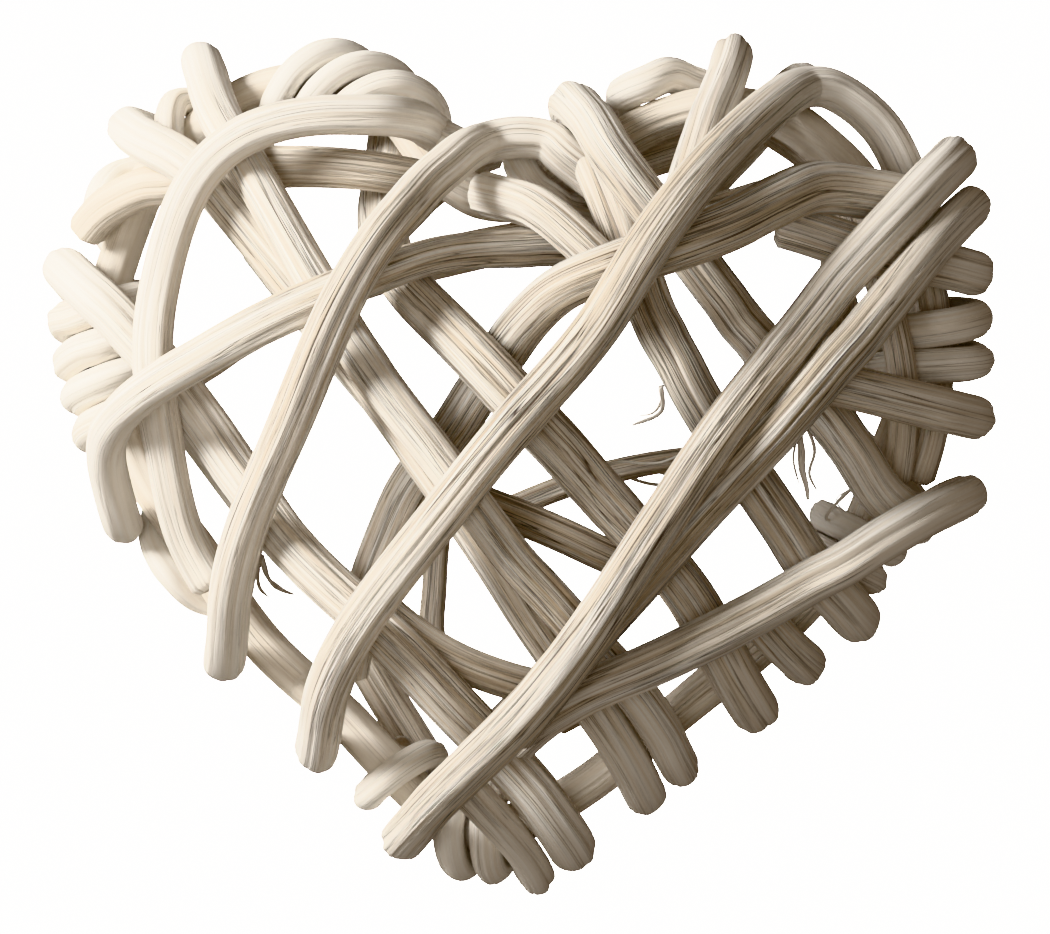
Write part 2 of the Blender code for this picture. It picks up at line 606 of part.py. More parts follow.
def cane_mesh(name, p, r, sides, closed=False, out=None):
    bm = bmesh.new()
    t, a, b = frames(p, closed, out)
    if closed:                       # spread the leftover twist round the ring
        v = a[-1] - (a[-1] @ t[0]) * t[0]
        twist = math.atan2(v @ b[0], v @ a[0])
    else:
        twist = 0.0
    rings = []
    n = len(p)
    for i in range(n):
        # widen a mitred joint so that the run between joints keeps its width
        if closed:
            e0, e1 = p[i] - p[i - 1], p[(i + 1) % n] - p[i]
        elif 0 < i < n - 1:
            e0, e1 = p[i] - p[i - 1], p[i + 1] - p[i]
        else:
            e0 = e1 = np.array([1.0, 0, 0])
        ring = []
        for k in range(sides):
            w = 2 * math.pi * (k + 0.5) / sides - twist * i / n
            o = math.cos(w) * a[i] + math.sin(w) * b[i]
            q = p[i] + r[i] * o
            ring.append(bm.verts.new(((q[0] - MIDDLE[0]) * MM, (q[1] - MIDDLE[1]) * MM, max(q[2], 0.0) * MM)))
        rings.append(ring)
    m = n if closed else n - 1
    for i in range(m):
        r0, r1 = rings[i], rings[(i + 1) % n]
        for k in range(sides):
            bm.faces.new((r0[k], r0[(k + 1) % sides], r1[(k + 1) % sides], r1[k]))
    if not closed:
        bm.faces.new(tuple(reversed(rings[0])))
        bm.faces.new(tuple(rings[-1]))
    bm.normal_update()
    bmesh.ops.recalc_face_normals(bm, faces=bm.faces)
    me = bpy.data.meshes.new(name)
    bm.to_mesh(me)
    bm.free()
    me.shade_smooth()
    me.set_sharp_from_angle(angle=math.radians(62))
    return me


def material(name, colour, rough):
    m = bpy.data.materials.new(name)
    m.use_nodes = True
    s = m.node_tree.nodes["Principled BSDF"]
    s.inputs["Base Color"].default_value = (*colour, 1.0)
    s.inputs["Roughness"].default_value = rough
    s.inputs["Metallic"].default_value = 0.0
    return m


def main():
    for o in list(bpy.data.objects):
        bpy.data.objects.remove(o, do_unlink=True)
    names, radii, paths, orders, aways = build_courses()
    paths = tighten(radii, paths, orders, aways)
    total = 0
    for k, (name, r, p) in enumerate(zip(names, radii, paths)):
        closed = name == "rim_hoop"
        if closed:
            q, w = thin_out(p, r, 0.14, 12.0)
            q, w = q[:-1], w[:-1]
        elif name.startswith("rim_"):
            q, w = thin_out(p, r, 0.34, 9.0)
        else:
            q, w = thin_out(p, r, 0.30, 18.0)
        # a cane of the cage has a facet facing out, so that it rests on a flat
        out = None if name.startswith("rim_") else cage_normal(q)
        me = cane_mesh(name, q, w - CAD_SHRINK, SIDES if w.max() > 2.0 else SIDES - 1, closed, out)
        tone = 0.80 - 0.02 * (k % 4)
        me.materials.append(material("cane_" + name, (tone, tone * 0.955, tone * 0.87), 0.62))
        ob = bpy.data.objects.new(name, me)
        bpy.context.scene.collection.objects.link(ob)
        total += len(me.polygons)
    return names, radii, paths


RESULT = main()
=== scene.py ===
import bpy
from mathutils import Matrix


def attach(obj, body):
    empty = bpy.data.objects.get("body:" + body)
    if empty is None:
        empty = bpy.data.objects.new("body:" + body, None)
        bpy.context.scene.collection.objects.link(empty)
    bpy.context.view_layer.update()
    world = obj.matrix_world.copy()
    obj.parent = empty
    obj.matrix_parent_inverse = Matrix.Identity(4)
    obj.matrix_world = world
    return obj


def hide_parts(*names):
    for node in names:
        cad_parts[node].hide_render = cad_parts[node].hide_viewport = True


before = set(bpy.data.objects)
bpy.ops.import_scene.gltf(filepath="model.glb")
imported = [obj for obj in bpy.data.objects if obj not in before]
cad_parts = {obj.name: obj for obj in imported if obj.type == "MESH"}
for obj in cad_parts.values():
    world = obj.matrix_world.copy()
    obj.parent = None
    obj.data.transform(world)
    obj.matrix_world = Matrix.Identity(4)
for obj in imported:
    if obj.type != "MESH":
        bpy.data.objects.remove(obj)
"""Wicker heart: the canes with their folded, cracked and whitewashed surface."""
import math
import bpy
import mathutils
import numpy as np

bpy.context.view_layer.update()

# ---------------------------------------------------------------- dimensions
MM = 0.001
CANE_R = 2.45          # radius of an ordinary cane (mm)
HOOP_R = 2.40          # radius of the cane bent into the rim hoop
HOOP_INSET = 6.5       # axis of the hoop, inside the outer edge
LOOP_INSET = 2.2       # axis of a cane where it turns round the rim
GAP = 0.30             # least clearance between the surfaces of two canes
RIM_Z = 27.0           # height of the rim hoop above the resting plane
FRONT_H = 24.5         # rise of the cage in front of the rim
BACK_H = 24.0          # depth of the cage behind the rim
FRONT_P = (2.3, 1.62)  # fullness of the front: across, and towards the rim
BACK_P = (3.0, 1.75)   # the back is flatter and fuller, so that it rests wide
REST_Z = 1.95          # axis height of a cane that lies on the resting plane
STEP = 2.4             # spacing of the points while the weave is tightened
MIDDLE = (-2.498, 0.369)   # middle of the woven heart in plan, moved to the origin

# ------------------------------------------------- the front view of the heart
# Courses are given as seen in a front view, 1050 wide and 934 high, x to the
# right and y down, taken from a little to the right of straight above.
VIEW_C = (525.0, 467.0)
VIEW_DIST = 430.0      # mm from the eye to the middle of the heart
VIEW_TILT = math.radians(14.0)
VIEW_SCALE = 8.2       # units of the view per mm at the middle of the heart

_d = np.array([math.sin(VIEW_TILT), 0.0, math.cos(VIEW_TILT)])
_x = np.array([math.cos(VIEW_TILT), 0.0, -math.sin(VIEW_TILT)])
_y = np.array([0.0, 1.0, 0.0])
EYE = np.array([0.0, 0.0, RIM_Z]) + VIEW_DIST * _d


def rays(q):
    """Unit directions from the eye through points q of the front view."""
    q = np.asarray(q, float)
    f = VIEW_SCALE * VIEW_DIST
    v = ((q[:, 0] - VIEW_C[0]) / f)[:, None] * _x - ((q[:, 1] - VIEW_C[1]) / f)[:, None] * _y - _d
    return v / np.linalg.norm(v, axis=1)[:, None]


def rays_to(p):
    v = p - EYE
    return v / np.linalg.norm(v, axis=1)[:, None]


# ------------------------------------------------------------------- splines
def cubic(t, y):
    """Natural cubic spline through (t, y); returns a function of t."""
    t = np.asarray(t, float)
    y = np.asarray(y, float)
    if y.ndim == 1:
        y = y[:, None]
    n = len(t)
    h = np.diff(t)
    a = np.zeros((n, n))
    b = np.zeros((n, y.shape[1]))
    a[0, 0] = a[-1, -1] = 1.0
    for i in range(1, n - 1):
        a[i, i - 1] = h[i - 1]
        a[i, i] = 2 * (h[i - 1] + h[i])
        a[i, i + 1] = h[i]
        b[i] = 6 * ((y[i + 1] - y[i]) / h[i] - (y[i] - y[i - 1]) / h[i - 1])
    m = np.linalg.solve(a, b)

    def f(u):
        u = np.asarray(u, float)
        k = np.clip(np.searchsorted(t, u) - 1, 0, n - 2)
        w = h[k][:, None]
        l = (u - t[k])[:, None]
        r = (t[k + 1] - u)[:, None]
        return (m[k] * r ** 3 / (6 * w) + m[k + 1] * l ** 3 / (6 * w)
                + (y[k] / w - m[k] * w / 6) * r + (y[k + 1] / w - m[k + 1] * w / 6) * l)
    return f


def lengths(p):
    return np.concatenate([[0.0], np.cumsum(np.linalg.norm(np.diff(p, axis=0), axis=1))])


def respace(p, step, extra=None):
    """Points evenly spaced along p; extra columns are carried along."""
    s = lengths(p)
    n = max(3, int(round(s[-1] / step)) + 1)
    u = np.linspace(0, s[-1], n)
    out = np.stack([np.interp(u, s, p[:, k]) for k in range(p.shape[1])], 1)
    if extra is None:
        return out
    return out, np.stack([np.interp(u, s, extra[:, k]) for k in range(extra.shape[1])], 1)


def soften(p, times, closed=False):
    p = p.copy()
    for _ in range(times):
        if closed:
            p = 0.5 * p + 0.25 * (np.roll(p, 1, 0) + np.roll(p, -1, 0))
        else:
            p[1:-1] = 0.5 * p[1:-1] + 0.25 * (p[:-2] + p[2:])
    return p


# --------------------------------------------------------------- the outline
# Outer edge of the heart in the front view, clockwise from the notch.
EDGE = [(500, 150), (545, 124), (600, 96), (665, 68), (735, 56), (800, 66), (854, 92),
        (908, 132), (950, 194), (988, 255), (1001, 328), (991, 412), (957, 484), (917, 562),
        (867, 624), (800, 688), (735, 742), (660, 804), (590, 848), (535, 871), (495, 879),
        (450, 874), (400, 840), (325, 768), (225, 678), (155, 580), (100, 500), (73, 415),
        (53, 330), (66, 249), (83, 192), (108, 141), (151, 103), (204, 60), (258, 37),
        (315, 31), (371, 42), (427, 72), (466, 120)]
CENTRE = np.array([0.0, 2.0])


def outline():
    """The middle line of the rim hoop in plan, as points."""
    q = np.array(EDGE + EDGE[:3], float)
    v = rays(q)
    t = (RIM_Z - EYE[2]) / v[:, 2]
    p = (EYE + t[:, None] * v)[:, :2]
    s = lengths(p)
    f = cubic(s, p)
    m = len(EDGE)
    u = np.linspace(s[1], s[1 + m], 721)[:-1]
    c = soften(f(u), 18, True)
    tan = np.roll(c, -1, 0) - np.roll(c, 1, 0)
    tan /= np.linalg.norm(tan, axis=1)[:, None]
    nor = np.stack([tan[:, 1], -tan[:, 0]], 1)
    if ((c - c.mean(0)) * nor).sum() < 0:
        nor = -nor
    c = soften(c - HOOP_INSET * nor, 14, True)
    k = int(np.argmin(np.linalg.norm(c - np.array([-30.0, -28.0]), axis=1)))
    return np.roll(c, -k, 0)


HOOP = outline()
_hth = np.arctan2(HOOP[:, 1] - CENTRE[1], HOOP[:, 0] - CENTRE[0])
_hr = np.linalg.norm(HOOP - CENTRE, axis=1)
_o = np.argsort(_hth)
_TH = np.concatenate([_hth[_o] - 2 * math.pi, _hth[_o], _hth[_o] + 2 * math.pi])
_RR = np.tile(_hr[_o], 3)
LAP = HOOP_INSET - LOOP_INSET      # drawn outwards by the hoop where canes turn round it


def cage(p):
    """Negative inside the closed surface that the canes' axes lie on."""
    d = p[..., :2] - CENTRE
    r = np.hypot(d[..., 0], d[..., 1])
    th = np.arctan2(d[..., 1], d[..., 0])
    rho = r / (np.interp(th, _TH, _RR) + LAP)
    z = p[..., 2] - RIM_Z
    front = z > 0
    h = np.where(front, FRONT_H, BACK_H)
    a = np.where(front, FRONT_P[0], BACK_P[0])
    b = np.where(front, FRONT_P[1], BACK_P[1])
    return rho ** a + (np.abs(z) / h) ** b - 1.0


def cage_normal(p):
    e = 0.4
    g = np.stack([cage(p + e * v) - cage(p - e * v) for v in np.eye(3)], -1)
    return g / np.linalg.norm(g, axis=-1)[..., None]


def cross_cage(q):
    """First and last points where the lines of sight through q meet the cage."""
    v = rays(q)
    t = np.linspace(VIEW_DIST - 80, VIEW_DIST + 80, 161)
    f = cage(EYE + t[None, :, None] * v[:, None, :])
    inside = f < 0
    hit = inside.any(1)
    i0 = np.where(hit, inside.argmax(1), 1)
    i1 = np.where(hit, inside.shape[1] - 1 - inside[:, ::-1].argmax(1), 1)
    i0 = np.clip(i0, 1, len(t) - 1)
    i1 = np.clip(i1, 0, len(t) - 2)
    out = []
    for ia, ib in ((i0 - 1, i0), (i1 + 1, i1)):      # outside, inside
        ta, tb = t[ia].copy(), t[ib].copy()
        for _ in range(18):
            tm = 0.5 * (ta + tb)
            fm = cage(EYE + tm[:, None] * v) < 0
            tb = np.where(fm, tm, tb)
            ta = np.where(fm, ta, tm)
        out.append(EYE + (0.5 * (ta + tb))[:, None] * v)
    # a line of sight that just misses takes its point nearest to the cage
    k = f.argmin(1)
    near = EYE + t[k][:, None] * v
    for m in range(2):
        out[m] = np.where(hit[:, None], out[m], near)
    return hit, out[0], out[1]


# ----------------------------------------------------------------- the canes
# name, radius, kind, course in the front view, order of laying along it.
# A higher order lies further out where two canes cross; a negative one lies
# inside the cage.  Kinds:
#   "loop"   front course, round the rim at both ends and back behind itself
#   "front"  front course; "r" at an end turns round the rim there, "f" ends free
#   "back"   the same behind the cage
CANES = [
    # canes that lean like "/"
    ("cane_arch_left", 2.35, "front ff", [(212, 588), (190, 550), (166, 455), (152, 350), (170, 250), (222, 158), (310, 120),
     (408, 128), (466, 154)], [-1, -1, -1, 0.8, 1, 1, 1.3, 2, 1.5]),
    ("cane_notch_to_left", CANE_R, "loop fr", [(612, 178), (576, 152), (526, 146), (486, 158), (440, 181), (402, 214), (366, 262), (322, 350), (284, 440),
     (250, 525), (232, 600), (229, 668)], [-2.0, -1.5, 0.2, 1.5, 2.2, 2.2, 2.2, 2.2, 2.2, 2.2, 2.2, 2.2]),
    ("cane_main_diagonal", 2.5, "loop fr", [(922, 184), (903, 142), (866, 106), (838, 90), (811, 88), (780, 103), (735, 148), (650, 255), (610, 315), (520, 420),
     (440, 520), (365, 620), (323, 735), (325, 765)], [-0.6, 0.3, 1.2, 1.8, 2.4, 2.8, 2.8, 2.8, 2.8, 2.8, 2.8, 2.8, 2.8, 2.8]),
    ("cane_sweep_left", CANE_R, "front fr", [(672, 231), (636, 240), (545, 236), (500, 244), (450, 254), (400, 270), (250, 334),
     (160, 386), (120, 430), (117, 476), (134, 520)], [-1, -1, -0.6, 1, 1.5, 1.5, 1.5, 1.5, 1.5, 1.5, 1.5]),
    ("cane_sweep_right", (3.0, 2.35), "front ff", [(928, 200), (880, 192), (800, 192), (660, 238), (580, 275), (475, 382),
     (445, 435), (405, 490), (385, 540), (368, 585), (345, 680)], [0.6, 1.3, 1.5, 1.5, 1.5, -1, -1, -1, -1, -1, -1]),
    ("cane_long_diagonal_a", 2.55, "loop", [(930, 150), (920, 174), (880, 243), (760, 394), (643, 550), (530, 706), (450, 787),
     (398, 842)], 3.2),
    ("cane_long_diagonal_b", CANE_R, "front rf", [(966, 200), (934, 233), (809, 380), (580, 655), (515, 738)], 2.5),
    ("cane_low_sweep", CANE_R, "front rf", [(956, 462), (930, 489), (899, 516), (850, 550), (740, 618), (620, 668), (528, 723), (506, 745)],
     [0.6, 1.2, 1.6, 1.5, 1.5, 1.5, 1, 1]),
    ("cane_right_lobe", CANE_R, "front rf", [(738, 56), (716, 98), (697, 155), (677, 222)], [1, 1, 1.2, 1.2]),
    # canes that lean like "\\"
    ("cane_left_edge", 2.75, "loop", [(64, 236), (80, 262), (240, 487), (300, 560), (390, 640), (440, 690), (540, 797), (580, 857)], 0),
    ("cane_pair_a", CANE_R, "loop", [(203, 68), (215, 110), (235, 148), (390, 398), (428, 447), (590, 657), (640, 712), (684, 785)], 0),
    ("cane_pair_b", CANE_R, "loop", [(116, 132), (198, 168), (232, 205), (302, 294), (455, 501), (567, 662), (632, 760),
     (650, 804)], [0, 0, -0.3, -1, -1, -1, 0, 0]),
    ("cane_centre", 2.85, "front fr", [(408, 118), (408, 150), (388, 235), (440, 310), (632, 530), (690, 597),
     (720, 650), (762, 722)], [-1, -1, -1, 0, 0, 0, 0, 0]),
    ("cane_notch_short", CANE_R, "front ff", [(478, 183), (530, 206), (575, 238), (622, 282)], 1),
    ("cane_right_a", 2.6, "loop", [(568, 116), (645, 202), (700, 262), (780, 362), (830, 412), (905, 507), (926, 530)], 0),
    ("cane_right_b", 2.75, "front fr", [(600, 160), (632, 232), (666, 342), (760, 492), (800, 546), (842, 590), (866, 621)], [-0.4, 0, 0, 0, 0, 0, 0]),
    ("cane_right_short", CANE_R, "front fr", [(752, 608), (768, 628), (818, 674)], [-0.6, -0.5, 0]),
    ("cane_right_tie_high", 2.6, "front fr", [(782, 213), (880, 249), (945, 262), (988, 275)], [-0.6, 0.4, 0.8, 0.8]),
    ("cane_right_tie_low", CANE_R, "front fr", [(800, 377), (930, 406), (986, 420)], 1),
    # canes that show through the weave
    ("cane_left_inner", CANE_R, "front ff", [(86, 244), (108, 216), (165, 182), (290, 162), (432, 181)], -1),
    ("cane_mid_inner_a", 1.95, "front ff", [(445, 490), (540, 527), (650, 576)], -1),
    ("cane_mid_inner_b", 1.4, "back ff", [(505, 512), (620, 470), (735, 455)], -1),
    ("cane_low_inner_a", 1.5, "back ff", [(447, 515), (436, 600), (430, 700)], -1),
    ("cane_low_inner_b", 2.1, "front ff", [(372, 606), (435, 656), (575, 700)], -1),
    ("cane_low_inner_c", 2.3, "back ff", [(345, 625), (385, 700), (440, 790)], -1),
    ("cane_right_inner_a", 1.65, "front ff", [(878, 240), (912, 380), (901, 492)], -1),
    ("cane_right_inner_b", 1.75, "back ff", [(752, 118), (815, 158), (847, 200), (836, 270), (826, 350)], -1),
    ("cane_right_inner_c", 1.75, "front ff", [(922, 240), (941, 340), (915, 500)], -1),
    ("cane_right_inner_e", 2.6, "back ff", [(772, 106), (830, 148), (893, 268)], -1),
    ("cane_right_inner_d", 2.2, "back ff", [(520, 205), (548, 192), (600, 152), (706, 112)], -1),
    ("cane_tip_short", 2.2, "front fr", [(445, 772), (510, 842), (530, 868)], 0),
    # canes of the back that run behind the two sweeping canes of the front
    ("cane_back_sweep", CANE_R, "back ff", [(185, 375), (280, 318), (400, 270), (545, 238), (705, 217),
     (800, 192), (860, 192)], 1.5),
    ("cane_back_low", CANE_R, "back ff", [(866, 548), (800, 588), (680, 647), (545, 712)], 1.5),
]

# Canes wound round the rim hoop between the others: name, radius, first and last
# place on the rim in the front view, turns, where round the hoop it starts (0 is
# outermost, 90 in front), and how far it swings out and back on the way.
WRAPS = [
    ("rim_wrap_left_low", 2.05, (76, 448), (50, 292), 4.0, 262, 0),
    ("rim_wrap_left_high", 1.9, (62, 240), (124, 134), 0, 270, 105),
    ("rim_wrap_left_top", 1.75, (104, 158), (190, 78), -0.85, 243, 0),
    ("rim_wrap_lobe_top_a", 1.6, (222, 62), (376, 62), -0.85, 243, 0),
    ("rim_wrap_lobe_top_b", 1.6, (264, 53), (420, 84), -0.85, 243, 0),
    ("rim_wrap_lobe_top_c", 1.6, (306, 49), (452, 112), -0.85, 243, 0),
    ("rim_wrap_right", 2.0, (1000, 296), (998, 402), 2.0, 262, 0),
    ("rim_wrap_right_low", 1.75, (920, 560), (886, 610), 2.0, 262, 0),
    ("rim_wrap_notch", 1.8, (512, 156), (545, 132), 1.0, 240, 0),
    ("rim_wrap_tip", 1.9, (508, 888), (440, 880), 2.0, 240, 0),
    ("rim_wrap_low_left", 1.6, (112, 516), (196, 640), 0, 270, 100),
    ("rim_wrap_low_left_b", 1.7, (350, 795), (378, 822), 1.0, 240, 0),
    ("rim_cane_top_a", 2.0, (586, 108), (712, 60), 0, 270, 100),
]


def on_hoop(q):
    """Arc length along the hoop nearest to the place q on the rim."""
    v = rays([q])
    t = (RIM_Z - EYE[2]) / v[0, 2]
    p = (EYE + t * v[0])[:2]
    s = lengths(np.vstack([HOOP, HOOP[:1]]))
    return s[np.argmin(np.linalg.norm(HOOP - p, axis=1))], s[-1]


def hoop_at(s):
    c = np.vstack([HOOP, HOOP[:1]])
    a = lengths(c)
    s = np.mod(s, a[-1])
    p = np.stack([np.interp(s, a, c[:, k]) for k in range(2)], 1)
    q = np.stack([np.interp(np.mod(s + 0.5, a[-1]), a, c[:, k]) for k in range(2)], 1)
    t = (q - p) / np.linalg.norm(q - p, axis=1)[:, None]
    n = np.stack([t[:, 1], -t[:, 0]], 1)
    if ((p - CENTRE) * n).sum() < 0:
        n = -n
    return p, n


def wrap_course(r, a, b, turns, start, swing):
    """A helix round the hoop."""
    sa, total = on_hoop(a)
    sb, _ = on_hoop(b)
    d = (sb - sa + total / 2) % total - total / 2
    n = int(60 * abs(turns) + abs(swing) / 3) + 1
    u = np.linspace(0, 1, n)
    ang = math.radians(start) + 2 * math.pi * turns * u + math.radians(swing) * np.sin(math.pi * u)
    p, nr = hoop_at(sa + d * u)
    rad = HOOP_R + GAP + r
    return np.column_stack([p + (rad * np.cos(ang))[:, None] * nr, RIM_Z + rad * np.sin(ang)])


def cane_course(kind, q, order):
    """Axis of a cane before tightening, with its order of laying."""
    q = np.array(q, float)
    order = np.full(len(q), float(order)) if np.isscalar(order) else np.array(order, float)
    kind, _, ends = kind.partition(" ")
    ends = ends or "rr"
    s = lengths(q)
    u = np.arange(0, s[-1], 1.0)
    d = cubic(s, q)(u)
    o = np.interp(u, s, order)
    e0, e1 = d[0] - d[6], d[-1] - d[-7]
    e0, e1 = e0 / np.linalg.norm(e0), e1 / np.linalg.norm(e1)
    # run both ends on past the edge, to find where the cane turns round the rim
    k = np.arange(1, 61)[:, None]
    ext0, ext1 = d[0] + e0 * k[::-1], d[-1] + e1 * k
    full = np.vstack([ext0, d, ext1])
    ofull = np.concatenate([np.full(60, o[0]), o, np.full(60, o[-1])])
    hit, front, back = cross_cage(full)
    n = len(full)
    i0, i1 = 60, n - 61
    reach0, reach1 = ends[0] == "r", ends[1] == "r"
    if reach0:                   # trimmed back, or run on, to the turn at the rim
        i0 = 60 + int(hit[60:].argmax())
        while i0 > 0 and hit[i0 - 1]:
            i0 -= 1
    if reach1:
        i1 = n - 61 - int(hit[:n - 60][::-1].argmax())
        while i1 < n - 1 and hit[i1 + 1]:
            i1 += 1
    f, b, w = front[i0:i1 + 1], back[i0:i1 + 1], ofull[i0:i1 + 1]
    if kind == "back":
        f, b = b, f
    # the far side, entered from the end of the near side
    tuck = 16.0
    parts, orders = [f], [w]
    turns = []
    if reach1:
        rb = b[::-1]
        sb = lengths(np.vstack([f[-1:], rb]))[1:]
        stop = sb[-1] - (tuck + 9.0) if kind == "loop" else tuck
        keep = sb < stop
        parts.append(rb[keep])
        orders.append(w[::-1][keep])
    if reach0:
        sb = lengths(np.vstack([f[:1], b]))[1:]
        keep = sb < tuck
        parts.insert(0, b[keep][::-1])
        orders.insert(0, w[keep][::-1])
        turns.append(lengths(np.vstack(parts[:2]))[keep.sum()])
    if reach1:
        n1 = len(np.vstack(parts[:2 if reach0 else 1]))
        turns.append(lengths(np.vstack(parts))[n1])
    p = np.vstack(parts)
    o = np.concatenate(orders)
    # how far each point is from a turn at the rim
    away = np.full(len(p), 99.0)
    for t in turns:
        away = np.minimum(away, np.abs(lengths(p) - t))
    p, o = respace(p, 1.0, np.column_stack([o, away]))
    p = soften(p, 10)
    return respace(p, STEP, o)


def taper(r, n):
    """Radius at each of n points of a cane; a pair of radii tapers evenly."""
    return np.full(n, float(r)) if np.isscalar(r) else np.linspace(r[0], r[1], n)


def build_courses():
    names, radii, paths, orders, aways = [], [], [], [], []
    hp = np.column_stack([HOOP, np.full(len(HOOP), RIM_Z)])
    hp = respace(np.vstack([hp, hp[:1]]), STEP)
    names.append("rim_hoop")
    radii.append(taper(HOOP_R, len(hp)))
    paths.append(hp)
    orders.append(np.zeros(len(hp)))
    aways.append(np.zeros(len(hp)))
    for name, r, kind, q, order in CANES:
        p, o = cane_course(kind, q, order)
        names.append(name)
        radii.append(taper(r, len(p)))
        paths.append(p)
        orders.append(o[:, 0])
        aways.append(o[:, 1])
    for name, r, a, b, turns, start, swing in WRAPS:
        p = respace(wrap_course(r, a, b, turns, start, swing), 1.7)
        names.append(name)
        radii.append(taper(r, len(p)))
        paths.append(p)
        orders.append(np.full(len(p), np.nan))
        aways.append(np.zeros(len(p)))
    return names, radii, paths, orders, aways


# ------------------------------------------------------- tightening the weave
def near_pairs(mid, strand, local, reach):
    """Pairs of segments of different canes, or far apart on one, within reach."""
    out_i, out_j = [], []
    n = len(mid)
    for a in range(0, n, 400):
        d = np.linalg.norm(mid[a:a + 400, None, :] - mid[None, :, :], axis=2)
        i, j = np.nonzero(d < reach)
        i = i + a
        ok = (i < j) & ((strand[i] != strand[j]) | ((np.abs(local[i] - local[j]) > 9) & (strand[i] > 0)))
        out_i.append(i[ok])
        out_j.append(j[ok])
    return np.concatenate(out_i), np.concatenate(out_j)


def closest(p, d1, q, d2):
    """Parameters of the closest points of segments p+s*d1 and q+t*d2."""
    r = p - q
    a = (d1 * d1).sum(1)
    e = (d2 * d2).sum(1)
    f = (d2 * r).sum(1)
    c = (d1 * r).sum(1)
    b = (d1 * d2).sum(1)
    den = a * e - b * b
    s = np.where(den > 1e-9, np.clip((b * f - c * e) / np.maximum(den, 1e-9), 0, 1), 0.5)
    t = (b * s + f) / e
    t2 = np.clip(t, 0, 1)
    s = np.clip((b * t2 - c) / a, 0, 1)
    t = np.clip((b * s + f) / e, 0, 1)
    return s, t


